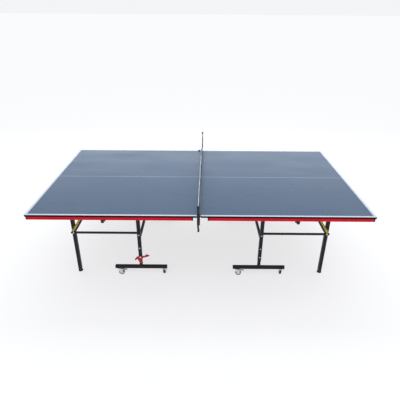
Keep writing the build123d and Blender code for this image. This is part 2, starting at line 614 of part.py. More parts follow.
# Net posts: clamp, arm and post in one, on both sides of the left board
for side, sign, post_x in (("near", -1, NEAR_POST_X), ("far", 1, FAR_POST_X)):
    with BuildPart() as post:
        with BuildSketch(Plane.YZ.offset(CLAMP_X - CLAMP_WIDTH / 2)):
            with BuildLine():
                Polyline(
                    (CLAMP_WEB_Y + CLAMP_WEB, BOARD_TOP + CLAMP_JAW),
                    (CLAMP_WEB_Y - CLAMP_REACH, BOARD_TOP + CLAMP_JAW),
                    (CLAMP_WEB_Y - CLAMP_REACH, BOARD_TOP),
                    (CLAMP_WEB_Y, BOARD_TOP),
                    (CLAMP_WEB_Y, CLAMP_ARM_TOP),
                    (CLAMP_WEB_Y - CLAMP_REACH, CLAMP_ARM_TOP),
                    (CLAMP_WEB_Y - CLAMP_REACH, CLAMP_ARM_TOP - CLAMP_ARM),
                    (CLAMP_WEB_Y + CLAMP_WEB, CLAMP_ARM_TOP - CLAMP_ARM),
                    close=True,
                )
            make_face()
        extrude(amount=CLAMP_WIDTH)
        with BuildSketch(Plane.YZ.offset(post_x - CLAMP_WEB / 2)):
            with BuildLine():
                Polyline(
                    (CLAMP_WEB_Y, BOARD_BOTTOM + GUSSET_RISE), (POST_Y, BOARD_TOP + CLAMP_JAW),
                    (POST_Y, BOARD_BOTTOM), (CLAMP_WEB_Y, BOARD_BOTTOM - GUSSET_DROP), close=True,
                )
            make_face()
        extrude(amount=CLAMP_WEB)
        with BuildSketch(Plane.YZ.offset(CLAMP_X)):
            with Locations((CLAMP_WEB_Y + CLAMP_WEB / 2, BOARD_BOTTOM + (GUSSET_RISE - GUSSET_DROP) / 2)):
                Rectangle(CLAMP_WEB, GUSSET_RISE + GUSSET_DROP)
        extrude(amount=post_x - CLAMP_X)
        with BuildSketch(Plane.XY.offset(BOARD_BOTTOM)):
            with Locations((post_x, POST_Y)):
                Circle(POST_RADIUS)
        extrude(amount=NET_TOP - BOARD_BOTTOM)
        with BuildSketch(Plane.XY.offset(CLAMP_ARM_TOP - CLAMP_ARM)):
            with Locations((CLAMP_X, SCREW_Y)):
                Circle(SCREW_RADIUS + RUNNING_FIT)
        extrude(amount=CLAMP_ARM, mode=Mode.SUBTRACT)
    with BuildPart() as placed:
        add(post.part)
        if sign < 0:
            mirror(about=Plane.XZ, mode=Mode.REPLACE)
    placed.part.label = f"{side}_net_post"
    export_step(placed.part, f"parts/{side}_net_post.step")

    with BuildPart() as clamp_screw:
        with BuildSketch(Plane.XY.offset(KNOB_BOTTOM)):
            with Locations((CLAMP_X, sign * SCREW_Y)):
                Circle(KNOB_RADIUS)
        extrude(amount=KNOB_HEIGHT)
        fillet(clamp_screw.edges().filter_by(GeomType.CIRCLE), KNOB_EDGE)
        with BuildSketch(Plane.XY.offset(KNOB_BOTTOM + KNOB_HEIGHT / 2)):
            with Locations((CLAMP_X, sign * SCREW_Y)):
                Circle(SCREW_RADIUS)
        extrude(amount=BOARD_BOTTOM - KNOB_BOTTOM - KNOB_HEIGHT / 2 - SCREW_PAD_HEIGHT)
        with BuildSketch(Plane.XY.offset(BOARD_BOTTOM - SCREW_PAD_HEIGHT)):
            with Locations((CLAMP_X, sign * SCREW_Y)):
                Circle(SCREW_PAD_RADIUS)
        extrude(amount=SCREW_PAD_HEIGHT)
    clamp_screw.part.label = f"{side}_clamp_screw"
    export_step(clamp_screw.part, f"parts/{side}_clamp_screw.step")

# Net: the mesh and the pale tape along its top, hung from post to post
net_plane = Plane(
    ((NEAR_POST_X + FAR_POST_X) / 2, 0, 0),
    x_dir=(FAR_POST_X - NEAR_POST_X, 2 * POST_Y, 0),
    z_dir=(2 * POST_Y, NEAR_POST_X - FAR_POST_X, 0),
)
post_spacing = Vector(FAR_POST_X - NEAR_POST_X, 2 * POST_Y, 0).length
NET_LENGTH = post_spacing - 2 * (POST_RADIUS + LOOSE_FIT)
NET_BOTTOM = BOARD_TOP + CLAMP_JAW + FREE_GAP
with BuildPart() as net_mesh:
    with BuildSketch(net_plane):
        with Locations((0, (NET_BOTTOM + NET_TOP - TAPE_HEIGHT) / 2)):
            Rectangle(NET_LENGTH, NET_TOP - TAPE_HEIGHT - NET_BOTTOM)
    extrude(amount=MESH_THICKNESS / 2, both=True)
net_mesh.part.label = "net_mesh"
export_step(net_mesh.part, "parts/net_mesh.step")

with BuildPart() as net_tape:
    with BuildSketch(net_plane):
        with Locations((0, NET_TOP - TAPE_HEIGHT / 2)):
            Rectangle(NET_LENGTH, TAPE_HEIGHT)
    extrude(amount=TAPE_THICKNESS / 2, both=True)
net_tape.part.label = "net_tape"
export_step(net_tape.part, "parts/net_tape.step")
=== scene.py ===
"""Rollaway table-tennis table: the finished look of every piece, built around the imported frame.

Metres, +Z up. X runs along the table, the near side is -Y, and the origin is on the floor under
the middle of the net. Places come from the frame; the sizes of what is modelled here are fields.
"""

import json
import logging
import math
from collections.abc import Callable, Iterable
from dataclasses import dataclass, field
from enum import Enum

import bmesh
import bpy
from mathutils import Matrix, Vector


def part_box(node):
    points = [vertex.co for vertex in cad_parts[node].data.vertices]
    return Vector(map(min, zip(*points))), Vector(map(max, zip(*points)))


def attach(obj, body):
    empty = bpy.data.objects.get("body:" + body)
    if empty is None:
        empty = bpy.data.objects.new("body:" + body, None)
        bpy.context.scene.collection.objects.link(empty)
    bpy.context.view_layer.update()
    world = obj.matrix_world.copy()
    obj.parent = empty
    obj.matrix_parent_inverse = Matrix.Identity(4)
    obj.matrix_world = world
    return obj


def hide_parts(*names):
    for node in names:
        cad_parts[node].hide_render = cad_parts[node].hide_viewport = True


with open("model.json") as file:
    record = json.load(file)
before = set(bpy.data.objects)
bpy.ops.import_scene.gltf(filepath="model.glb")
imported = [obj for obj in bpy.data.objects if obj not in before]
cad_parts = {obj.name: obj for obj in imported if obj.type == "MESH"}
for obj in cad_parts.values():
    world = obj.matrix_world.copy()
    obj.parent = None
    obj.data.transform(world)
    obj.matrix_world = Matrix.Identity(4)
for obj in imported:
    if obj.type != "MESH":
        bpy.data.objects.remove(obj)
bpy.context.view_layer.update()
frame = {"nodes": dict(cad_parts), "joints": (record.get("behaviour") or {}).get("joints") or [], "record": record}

LOG = logging.getLogger("table")
NODES = frame["nodes"]
BODY_OF_NODE = {n: body for body, ns in frame["record"]["behaviour"]["bodies"].items() for n in ns}
JOINTS = {joint["name"]: joint for joint in frame["joints"]}
MM = 0.001
TINY = 1e-5
FACING = 0.9  # a face looks along an axis when its normal has at least this much of it

Piece = bpy.types.Object
MeshTest = Callable[[Vector, Vector], bool]
Colour = tuple[float, float, float]


class Half(Enum):
    """The two folding halves."""

    LEFT = "left"
    RIGHT = "right"

    @property
    def outward(self) -> int:
        """The direction along X from the net to this half's end line."""
        return -1 if self is Half.LEFT else 1

    @property
    def latch_side(self) -> int:
        """The direction along Y of the leg that carries the latch lever."""
        return self.outward


class Side(Enum):
    """The two sides of the table."""

    NEAR = "near"
    FAR = "far"

    @property
    def sign(self) -> int:
        """The direction along Y of this side."""
        return -1 if self is Side.NEAR else 1

    @property
    def outward(self) -> Vector:
        """The direction from the middle of the table to this side."""
        return Vector((0, self.sign, 0))


# ---- modelling tools


def deselect_all() -> None:
    """Deselect every object."""
    bpy.ops.object.select_all(action="DESELECT")


def pick(piece: Piece) -> None:
    """Make a piece the only selected and the active one.

    Args:
        piece: the piece to work on.
    """
    deselect_all()
    piece.select_set(True)
    bpy.context.view_layer.objects.active = piece


class Editing:
    """Edit mode on one piece, entered with nothing selected and left again at the end."""

    def __init__(self, piece: Piece) -> None:
        """Keep the piece to edit."""
        self.piece = piece

    def __enter__(self) -> "Editing":
        """Enter edit mode."""
        pick(self.piece)
        bpy.ops.object.mode_set(mode="EDIT")
        self.clear("FACE")
        return self

    def __exit__(self, *failure: object) -> None:
        """Leave edit mode."""
        bpy.ops.object.mode_set(mode="OBJECT")

    def clear(self, mode: str) -> None:
        """Select nothing, in a select mode."""
        bpy.ops.mesh.select_mode(type=mode)
        bpy.ops.mesh.select_all(action="DESELECT")

    def faces(self, test: MeshTest) -> None:
        """Select the faces that pass a test, and nothing else.

        Args:
            test: takes a face's middle and its normal.
        """
        self.clear("FACE")
        for face in bmesh.from_edit_mesh(self.piece.data).faces:
            face.select_set(test(face.calc_center_median(), face.normal))
        bmesh.update_edit_mesh(self.piece.data)

    def ends(self, way: int = 1) -> None:
        """Select the faces that look up, or with a way of -1 down."""
        self.faces(lambda centre, normal: normal.z * way > FACING)

    def edges(self, test: MeshTest) -> None:
        """Select the edges that pass a test, and nothing else.

        Args:
            test: takes an edge's two ends.
        """
        self.clear("EDGE")
        for edge in bmesh.from_edit_mesh(self.piece.data).edges:
            edge.select_set(test(edge.verts[0].co, edge.verts[1].co))
        bmesh.update_edit_mesh(self.piece.data)

    def extrude(self, x: float = 0, y: float = 0, z: float = 0) -> None:
        """Extrude what is selected by a move."""
        bpy.ops.mesh.extrude_region_move(TRANSFORM_OT_translate={"value": (x, y, z)})

    def widen(self, share: float, rise: float = 1, height: float = 0) -> None:
        """Scale what is selected away from the Z axis, and by a rise from a height on it."""
        bpy.ops.transform.resize(value=(share, share, rise), center_override=(0, 0, height))

    def inset(self, thickness: float, depth: float = 0) -> None:
        """Inset the selected faces, and push them out by a depth."""
        bpy.ops.mesh.inset(thickness=thickness, depth=depth)

    def bevel(self, width: float, segments: int = 2) -> None:
        """Bevel the selected edges."""
        bpy.ops.mesh.bevel(offset=width, segments=segments, affect="EDGES", profile=0.5)


def started(name: str) -> Piece:
    """Name the primitive that was just added and apply its place.

    Args:
        name: the piece's name.

    Returns:
        The new object.
    """
    piece = bpy.context.object
    piece.name = piece.data.name = name
    bpy.ops.object.transform_apply(location=True, rotation=True, scale=True)
    return piece


def rod(name: str, radius: float, low: float, high: float, sides: int = 40) -> Piece:
    """Start a round piece on the Z axis.

    Args:
        name: the piece's name.
        radius: its radius.
        low: the height of its lower end.
        high: the height of its upper end.
        sides: how many flat faces go round it.

    Returns:
        A closed cylinder.
    """
    deselect_all()
    bpy.ops.mesh.primitive_cylinder_add(
        vertices=sides, radius=radius, depth=high - low, location=(0, 0, (low + high) / 2)
    )
    return started(name)


def block(name: str, low: Iterable[float], high: Iterable[float]) -> Piece:
    """Start a square piece between two corners.

    Args:
        name: the piece's name.
        low: its lowest corner.
        high: its highest corner.

    Returns:
        A closed box.
    """
    low, high = Vector(low), Vector(high)
    deselect_all()
    bpy.ops.mesh.primitive_cube_add(size=1, location=(low + high) / 2, scale=high - low)
    return started(name)


def modify(piece: Piece, kind: str, **settings: object) -> None:
    """Change a piece's mesh with a modifier.

    Args:
        piece: the piece.
        kind: the modifier's type.
        settings: its settings.
    """
    modifier = piece.modifiers.new(kind, kind)
    for name, value in settings.items():
        setattr(modifier, name, value)
    pick(piece)
    bpy.ops.object.modifier_apply(modifier=modifier.name)


def round_edges(piece: Piece, width: float, segments: int = 2, angle: float = 35) -> None:
    """Round the sharp edges of a piece, and shade it smooth between them.

    Args:
        piece: the piece.
        width: the bevel's width.
        segments: its segments.
        angle: edges sharper than this many degrees are rounded.
    """
    limit = {"limit_method": "ANGLE", "angle_limit": math.radians(angle)}
    modify(piece, "BEVEL", width=width, segments=segments, **limit)
    smooth(piece, angle)


def smooth(piece: Piece, angle: float = 35) -> None:
    """Shade a piece smooth where its faces meet at less than an angle in degrees."""
    pick(piece)
    bpy.ops.object.shade_smooth_by_angle(angle=math.radians(angle))


def copy_to(master: Piece, name: str, place: Matrix = Matrix.Identity(4)) -> Piece:
    """Copy a piece, mesh and all, to a place.

    Args:
        master: the piece to copy.
        name: the copy's name.
        place: where the copy goes.

    Returns:
        The copy, with its place in its mesh.
    """
    piece = bpy.data.objects.new(name, master.data.copy())
    piece.data.name = name
    bpy.context.scene.collection.objects.link(piece)
    piece.data.transform(place)
    return piece


def join(name: str, pieces: list[Piece]) -> Piece:
    """Join pieces that are one part.

    Args:
        name: the joined piece's name.
        pieces: what is joined.

    Returns:
        The joined piece.
    """
    pick(pieces[0])
    for piece in pieces[1:]:
        piece.select_set(True)
    if len(pieces) > 1:
        bpy.ops.object.join()
    pieces[0].name = pieces[0].data.name = name
    return pieces[0]


def repeat(master: Piece, name: str, places: list[Matrix]) -> Piece:
    """Put copies of a master at several places, and remove the master.

    Args:
        master: the piece as modelled, at the origin.
        name: the joined copies' name.
        places: where the copies go.

    Returns:
        The copies, joined.
    """
    copies = [copy_to(master, f"{name}_copy", place) for place in places]
    bpy.data.objects.remove(master)
    return join(name, copies)


def softened(node: str, name: str, width: float, segments: int = 2) -> Piece:
    """Copy a frame node, merge its mesh and round its sharp edges.

    Args:
        node: the node's name.
        name: the new piece's name.
        width: the width of the rounding.
        segments: its segments.

    Returns:
        The new piece, which rides where the node rides and stands for it.
    """
    piece = copy_to(NODES[node], name)
    with Editing(piece):
        bpy.ops.mesh.select_all(action="SELECT")
        bpy.ops.mesh.customdata_custom_splitnormals_clear()
        bpy.ops.mesh.remove_doubles(threshold=TINY)
        bpy.ops.mesh.dissolve_limited(angle_limit=math.radians(0.5))
    round_edges(piece, width, segments)
    return stand_for(piece, node)


def stand_for(piece: Piece, *nodes: str) -> Piece:
    """Let a piece ride and stand for frame nodes.

    Args:
        piece: the new piece.
        nodes: the nodes of one body that it stands for.

    Returns:
        The piece.
    """
    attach(piece, BODY_OF_NODE[nodes[0]])
    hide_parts(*nodes)
    return piece


def fix_to(piece: Piece, node: str) -> None:
    """Let a piece ride where a node rides, beside the node's piece."""
    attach(piece, BODY_OF_NODE[node])


def along(start: Vector, direction: Vector) -> Matrix:
    """The place of a piece drawn on +Z, standing at a point and pointing along a direction."""
    return Matrix.Translation(start) @ direction.to_track_quat("Z", "Y").to_matrix().to_4x4()


def tube_ends(low_x: float, high_x: float, y: float, z: float) -> list[Matrix]:
    """The places of four tube ends on both sides, each turned outwards along X."""
    return [
        Matrix.Translation((x, side.sign * y, z)) @ Matrix.Rotation(turn, 4, "Z")
        for x, turn in ((low_x, math.pi), (high_x, 0))
        for side in Side
    ]


def node_centre(node: str) -> Vector:
    """The middle of a frame node's box."""
    low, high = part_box(node)
    return (low + high) / 2


# ---- finishes


def rgb(red: int, green: int, blue: int) -> Colour:
    """Turn a screen colour from 0 to 255 into the light that it stands for."""

    def light(value: int) -> float:
        share = value / 255
        return share / 12.92 if share <= 0.04045 else ((share + 0.055) / 1.055) ** 2.4

    return light(red), light(green), light(blue)


def shade(colour: Colour, by: float) -> Colour:
    """A colour made lighter or darker by a factor."""
    return tuple(min(1.0, part * by) for part in colour)


Socket = bpy.types.NodeSocket


class Graph:
    """The nodes of one material, added one at a time."""

    def __init__(self, name: str) -> None:
        """Make the material, with its shader."""
        self.material = bpy.data.materials.new(name)
        self.material.use_nodes = True
        self.tree = self.material.node_tree
        self.shader = self.tree.nodes["Principled BSDF"]
        self.place = self.add("ShaderNodeTexCoord").outputs["Object"]

    def add(self, kind: str, inputs: dict | None = None, **settings: object) -> bpy.types.Node:
        """Add a node.

        Args:
            kind: the node's type.
            inputs: values or sockets by input name or number.
            settings: the node's own settings.

        Returns:
            The node.
        """
        node = self.tree.nodes.new(kind)
        for name, value in settings.items():
            setattr(node, name, value)
        for name, value in (inputs or {}).items():
            self.feed(node.inputs[name], value)
        return node

    def feed(self, socket: Socket, value: object) -> None:
        """Link a socket to another, or set its value."""
        if isinstance(value, Socket):
            self.tree.links.new(value, socket)
        elif hasattr(value, "__len__") and len(socket.default_value) == 4:
            socket.default_value = (*value, 1)
        else:
            socket.default_value = value

    def set(self, **values: object) -> None:
        """Set the shader's own inputs, named with _ for a space."""
        for name, value in values.items():
            self.feed(self.shader.inputs[name.replace("_", " ")], value)

    def maths(self, operation: str, *values: object) -> Socket:
        """One step of arithmetic."""
        inputs = dict(enumerate(values))
        return self.add("ShaderNodeMath", inputs, operation=operation).outputs[0]

    def noise(self, scale: float, detail: float = 3, stretch: Colour = (1, 1, 1)) -> Socket:
        """Soft noise.

        Args:
            scale: how many waves there are in a metre.
            detail: its octaves.
            stretch: scales along the three axes, for streaks.

        Returns:
            The noise, from 0 to 1.
        """
        vector = self.place
        if stretch != (1, 1, 1):
            vector = self.add("ShaderNodeMapping", {"Vector": vector, "Scale": stretch}).outputs[0]
        inputs = {"Vector": vector, "Scale": scale, "Detail": detail}
        return self.add("ShaderNodeTexNoise", inputs).outputs["Fac"]

    def grain(self, scale: float) -> Socket:
        """Small round cells, as in moulded or sprayed skin."""
        inputs = {"Vector": self.place, "Scale": scale}
        return self.add("ShaderNodeTexVoronoi", inputs).outputs["Distance"]

    def spread(self, value: Socket, low: float, high: float, least: float, most: float) -> Socket:
        """Map one range of a value onto another, held at its ends."""
        inputs = {0: value, 1: low, 2: high, 3: least, 4: most}
        return self.add("ShaderNodeMapRange", inputs).outputs["Result"]

    def patches(self, noise: Socket, start: float, full: float, most: float = 1) -> Socket:
        """Patches of noise: none where it is low, and the most of it where it is high."""
        return self.spread(noise, start, full, 0, most)

    def mix(self, share: Socket, first: object, second: object) -> Socket:
        """Mix two colours, the second as much as the share says."""
        inputs = {0: share, 6: first, 7: second}
        return self.add("ShaderNodeMix", inputs, data_type="RGBA").outputs[2]

    def bump(
        self, height: Socket, strength: float, depth: float, under: Socket | None = None
    ) -> Socket:
        """Turn a height into relief.

        Args:
            height: the height, from 0 to 1.
            strength: how much it counts.
            depth: its depth in metres.
            under: relief below this one.

        Returns:
            The bent normal.
        """
        inputs = {"Height": height, "Strength": strength, "Distance": depth}
        if under is not None:
            inputs["Normal"] = under
        return self.add("ShaderNodeBump", inputs).outputs["Normal"]


@dataclass(frozen=True)
class Finish:
    """A finish, whose material is made when the first piece takes it."""

    name: str
    colour: Colour
    roughness: float

    def paint(self, graph: Graph) -> None:
        """Add this finish's nodes to a new material."""
        raise NotImplementedError

    def dress(self, *pieces: Piece) -> None:
        """Give pieces this finish.

        Args:
            pieces: frame nodes or new pieces.
        """
        material = self.material()
        for piece in pieces:
            if not piece.material_slots:
                piece.data.materials.append(material)
            for place in piece.material_slots:
                place.material = material

    def dress_faces(self, piece: Piece, test: MeshTest) -> None:
        """Give this finish to some faces of a piece.

        Args:
            piece: a piece that has a finish already.
            test: takes a face's centre and normal, in the table's frame.
        """
        piece.data.materials.append(self.material())
        last = len(piece.data.materials) - 1
        place = piece.matrix_world
        for face in piece.data.polygons:
            if test(place @ face.center, place.to_3x3() @ face.normal):
                face.material_index = last

    def clouded(self, graph: Graph, cloud: Socket, dark: float, light: float) -> Socket:
        """The colour, clouded between two shades of itself."""
        return graph.mix(cloud, shade(self.colour, dark), shade(self.colour, light))

    def uneven(self, graph: Graph, noise: Socket, below: float, above: float) -> Socket:
        """The roughness, wandering with a noise to a bit below and above its own value."""
        return graph.spread(noise, 0.3, 0.7, self.roughness - below, self.roughness + above)

    def material(self) -> bpy.types.Material:
        """The finish's material, made the first time."""
        made = bpy.data.materials.get(self.name)
        if made is None:
            graph = Graph(self.name)
            self.paint(graph)
            made = graph.material
        return made


@dataclass(frozen=True)
class PowderCoat(Finish):
    """Baked paint on steel: fine orange peel, a little dust and a few rubbed marks."""

    specular: float = 0.3
    coat: float = 0.0
    dust: float = 0.06

    def paint(self, graph: Graph) -> None:
        """Add the paint's nodes."""
        cloud = graph.patches(graph.noise(7, 5), 0.35, 0.65)
        tone = self.clouded(graph, cloud, 0.86, 1.12)
        fleck = graph.patches(graph.noise(900, 2), 0.58, 0.72, self.dust)
        dusty = graph.mix(fleck, tone, rgb(150, 152, 155))
        streak = graph.noise(34, 6, stretch=(1, 1, 0.18))
        rubbed = graph.patches(streak, 0.66, 0.74, 0.16)
        colour = graph.mix(rubbed, dusty, rgb(120, 121, 124))
        rough = self.uneven(graph, graph.noise(45, 4), 0.07, 0.09)
        peel = graph.bump(graph.noise(420, 2), 0.16, 0.3 * MM)
        relief = graph.bump(graph.grain(1500), 0.05, 0.1 * MM, peel)
        graph.set(Base_Color=colour, Roughness=rough, Normal=relief)
        graph.set(Specular_IOR_Level=self.specular, Coat_Weight=self.coat, Coat_Roughness=0.16)


@dataclass(frozen=True)
class PlayingSurface(Finish):
    """Matt blue board with white lines, a black edge band and a dark sealed underside."""

    line_colour: Colour = rgb(190, 202, 214)
    edge_colour: Colour = rgb(12, 11, 14)
    underside_colour: Colour = rgb(38, 36, 36)
    line_width: float = 20 * MM
    centre_line_width: float = 3 * MM
    skin: float = 0.2 * MM

    def lines(self, graph: Graph, across: Socket, along_x: Socket, corner: Vector) -> Socket:
        """The share of white paint at a point.

        Args:
            graph: the material.
            across: the distance from the table's centre line.
            along_x: the distance from the net.
            corner: the highest corner of the boards.

        Returns:
            1 on a line and 0 off it.
        """
        side = graph.maths("GREATER_THAN", across, corner.y - self.line_width)
        end = graph.maths("GREATER_THAN", along_x, corner.x - self.line_width)
        centre = graph.maths("LESS_THAN", across, self.centre_line_width / 2)
        return graph.maths("MAXIMUM", graph.maths("MAXIMUM", side, end), centre)

    def paint(self, graph: Graph) -> None:
        """Add the board's nodes."""
        low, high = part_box("right_board")
        axes = graph.add("ShaderNodeSeparateXYZ", {0: graph.place}).outputs
        along_x, across = graph.maths("ABSOLUTE", axes[0]), graph.maths("ABSOLUTE", axes[1])
        white = self.lines(graph, across, along_x, high)
        cloud = graph.patches(graph.noise(2.2, 4), 0.3, 0.7)
        field = self.clouded(graph, cloud, 0.95, 1.06)
        fleck = graph.patches(graph.noise(1400, 2), 0.52, 0.75, 0.22)
        field = graph.mix(fleck, field, shade(self.colour, 1.9))
        worn = graph.patches(graph.noise(260, 4), 0.62, 0.72, 0.2)
        paint = graph.mix(worn, self.line_colour, shade(self.line_colour, 0.72))
        top = graph.mix(white, field, paint)
        is_top = graph.maths("GREATER_THAN", axes[2], high.z - self.skin)
        is_under = graph.maths("LESS_THAN", axes[2], low.z + self.skin)
        fibre = graph.patches(graph.noise(320, 5), 0.4, 0.65, 0.5)
        under = graph.mix(fibre, self.underside_colour, shade(self.underside_colour, 1.7))
        edge = graph.mix(is_under, self.edge_colour, under)
        wiped = graph.noise(5, 6, stretch=(0.35, 1, 1))
        rough = graph.spread(wiped, 0.32, 0.68, self.roughness - 0.05, self.roughness + 0.07)
        sanded = graph.bump(graph.noise(1700, 3), 0.1, 0.12 * MM)
        relief = graph.bump(white, 0.25, 0.15 * MM, sanded)
        graph.set(Base_Color=graph.mix(is_top, edge, top), Roughness=rough, Normal=relief)
        graph.set(Specular_IOR_Level=0.5)


@dataclass(frozen=True)
class MouldedPlastic(Finish):
    """Injection-moulded plastic with a fine spark-eroded grain."""

    specular: float = 0.35
    grain_scale: float = 1100
    grain_strength: float = 0.12

    def paint(self, graph: Graph) -> None:
        """Add the plastic's nodes."""
        flow = graph.patches(graph.noise(60, 4, stretch=(1, 1, 0.3)), 0.35, 0.65)
        colour = self.clouded(graph, flow, 0.88, 1.12)
        scuff = graph.patches(graph.noise(210, 5), 0.64, 0.74, 0.16)
        colour = graph.mix(scuff, colour, shade(self.colour, 2.2))
        rough = self.uneven(graph, graph.noise(110, 3), 0.06, 0.06)
        relief = graph.bump(graph.grain(self.grain_scale), self.grain_strength, 0.1 * MM)
        graph.set(Base_Color=colour, Roughness=rough, Normal=relief)
        graph.set(Specular_IOR_Level=self.specular)


@dataclass(frozen=True)
class Rubber(Finish):
    """Matt rubber with floor dust in its pores."""

    dust: float = 0.25

    def paint(self, graph: Graph) -> None:
        """Add the rubber's nodes."""
        patch = graph.patches(graph.noise(95, 6), 0.48, 0.72, self.dust)
        colour = graph.mix(patch, self.colour, rgb(112, 110, 106))
        rough = self.uneven(graph, graph.noise(160, 3), 0.08, 0.08)
        relief = graph.bump(graph.noise(1300, 4), 0.22, 0.15 * MM)
        graph.set(Base_Color=colour, Roughness=rough, Normal=relief, Specular_IOR_Level=0.25)


@dataclass(frozen=True)
class ZincPlate(Finish):
    """Bright zinc on pressed steel, clouded blue and straw, with fine scratches."""

    def paint(self, graph: Graph) -> None:
        """Add the plating's nodes."""
        cloud = graph.patches(graph.noise(70, 4), 0.38, 0.62)
        colour = graph.mix(cloud, shade(self.colour, 0.93), self.colour)
        straw = graph.patches(graph.noise(130, 3), 0.55, 0.7, 0.35)
        colour = graph.mix(straw, colour, rgb(206, 198, 174))
        rough = self.uneven(graph, graph.noise(240, 5), 0.08, 0.14)
        scratches = graph.noise(900, 2, stretch=(0.06, 1, 1))
        relief = graph.bump(scratches, 0.08, 0.08 * MM)
        graph.set(Base_Color=colour, Roughness=rough, Normal=relief, Metallic=0.9)


@dataclass(frozen=True)
class NetCord(Finish):
    """Twisted nylon net cord."""

    def paint(self, graph: Graph) -> None:
        """Add the cord's nodes."""
        cloud = graph.patches(graph.noise(55, 4), 0.35, 0.65)
        colour = self.clouded(graph, cloud, 0.7, 1.35)
        strands = graph.noise(1500, 2, stretch=(1, 0.5, 0.5))
        relief = graph.bump(strands, 0.5, 0.25 * MM)
        rough = self.uneven(graph, strands, 0.1, 0.1)
        graph.set(Base_Color=colour, Roughness=rough, Normal=relief)
        graph.set(Sheen_Weight=0.25, Sheen_Roughness=0.4, Specular_IOR_Level=0.3)


@dataclass(frozen=True)
class WovenTape(Finish):
    """Woven cotton tape, its weave following the tape's own map, in metres, with painted shade in the weave's
    hollows.
    """

    thread: float = 0.55 * MM

    def paint(self, graph: Graph) -> None:
        """Add the tape's nodes."""
        place = graph.add("ShaderNodeTexCoord").outputs["UV"]
        axes = graph.add("ShaderNodeSeparateXYZ", {0: place}).outputs
        turns = math.pi / self.thread
        warp = graph.maths("SINE", graph.maths("MULTIPLY", axes[0], turns))
        weft = graph.maths("SINE", graph.maths("MULTIPLY", axes[1], turns))
        weave = graph.spread(graph.maths("MULTIPLY", warp, weft), -1, 1, 0, 1)
        # painted shade: the colour darkens where the weave's height is low, in the hollows where one thread dips
        # under the next, the same height that drives the relief
        thread = graph.mix(weave, shade(self.colour, 0.84), self.colour)
        soiled = graph.patches(graph.noise(26, 6), 0.45, 0.7, 0.35)
        colour = graph.mix(soiled, thread, shade(self.colour, 0.74))
        relief = graph.bump(weave, 0.55, 0.3 * MM)
        graph.set(Base_Color=colour, Normal=relief, Roughness=self.roughness)
        graph.set(Sheen_Weight=0.3, Sheen_Roughness=0.5, Specular_IOR_Level=0.2)


BLUE_BOARD = PlayingSurface("blue_board_with_lines", rgb(48, 78, 108), 0.3)
RED_COAT = PowderCoat("red_gloss_coat", rgb(200, 8, 34), 0.34, specular=0.12, dust=0.03)
BLACK_COAT = PowderCoat("black_satin_coat", rgb(22, 24, 29), 0.42, specular=0.2)
YELLOW_COAT = PowderCoat("yellow_gloss_coat", rgb(248, 226, 66), 0.36, specular=0.5, dust=0.02)
BLACK_PLASTIC = MouldedPlastic("black_moulded_plastic", rgb(18, 18, 20), 0.5)
LEVER_PLASTIC = MouldedPlastic("dark_red_lever_plastic", rgb(158, 10, 22), 0.32)
HUB_PLASTIC = MouldedPlastic("pale_hub_plastic", rgb(196, 203, 208), 0.42)
EDGE_BAND = MouldedPlastic("black_edge_band", rgb(12, 11, 14), 0.7, specular=0.1)
BLOCK_RUBBER = Rubber("black_block_rubber", rgb(22, 22, 24), 0.72)
TYRE_RUBBER = Rubber("dark_tyre_rubber", rgb(24, 25, 28), 0.6, dust=0.15)
ZINC = ZincPlate("bright_zinc_plate", rgb(214, 217, 219), 0.3)
GREEN_CORD = NetCord("dark_green_net_cord", rgb(20, 44, 52), 0.55)
PALE_TAPE = WovenTape("pale_woven_tape", rgb(206, 216, 226), 0.85)


# ---- repeated hardware


@dataclass
class Bolt:
    """A carriage bolt or headed pin: a domed head outside, a head or a hexagon nut inside."""

    shank: float = 4 * MM
    head: float = 6 * MM
    head_height: float = 4 * MM
    tail: float = 6 * MM
    tail_height: float = 4 * MM
    nut: bool = True
    dome: tuple[tuple[float, float], ...] = ((1, 0.45), (0.9, 0.3), (0.72, 0.17), (0.42, 0.08))
    nut_edge: float = 0.5 * MM
    edge: float = 0.3 * MM

    def make(self, name: str, inner: Vector, outer: Vector) -> Piece:
        """Model the bolt between the faces that its head and its tail bear on.

        Args:
            name: the piece's name.
            inner: the point under the tail or nut.
            outer: the point under the domed head.

        Returns:
            The bolt.
        """
        length = (outer - inner).length
        piece = rod(name, self.shank, 0, length, 32)
        with Editing(piece) as edit:
            edit.ends()
            edit.extrude()
            edit.widen(self.head / self.shank)
            before = 1
            for share, rise in self.dome:
                edit.extrude(z=self.head_height * rise)
                edit.widen(share / before)
                before = share
            if not self.nut:
                edit.faces(lambda centre, normal: normal.z < -FACING and centre.z < TINY)
                edit.extrude()
                edit.widen(self.tail / self.shank)
                edit.extrude(z=-self.tail_height)
        parts = [piece]
        if self.nut:
            parts.append(rod("nut", self.tail, -self.tail_height, 0, 6))
            round_edges(parts[1], self.nut_edge)
        round_edges(parts[0], self.edge)
        piece = join(name, parts)
        piece.data.transform(along(inner, outer - inner))
        return piece


@dataclass
class TubePlug:
    """A moulded plug in the end of a square tube, with a dished face."""

    corner: float = 3 * MM
    rim: float = 2.4 * MM
    dish: float = 0.9 * MM
    edge: float = 0.5 * MM

    def make(self, name: str, width: float, height: float, length: float) -> Piece:
        """Model the plug on the YZ plane, standing out along +X.

        Args:
            name: the piece's name.
            width: its size along Y.
            height: its size along Z.
            length: how far it stands out.

        Returns:
            The plug.
        """
        piece = block(name, (0, -width / 2, -height / 2), (length, width / 2, height / 2))
        with Editing(piece) as edit:
            edit.edges(lambda a, b: abs(a.x - b.x) > length / 2)
            edit.bevel(self.corner, 5)
            edit.faces(lambda centre, normal: normal.x > FACING)
            edit.inset(self.rim)
            edit.inset(self.edge, -self.dish)
        round_edges(piece, self.edge)
        return piece


# ---- the two halves


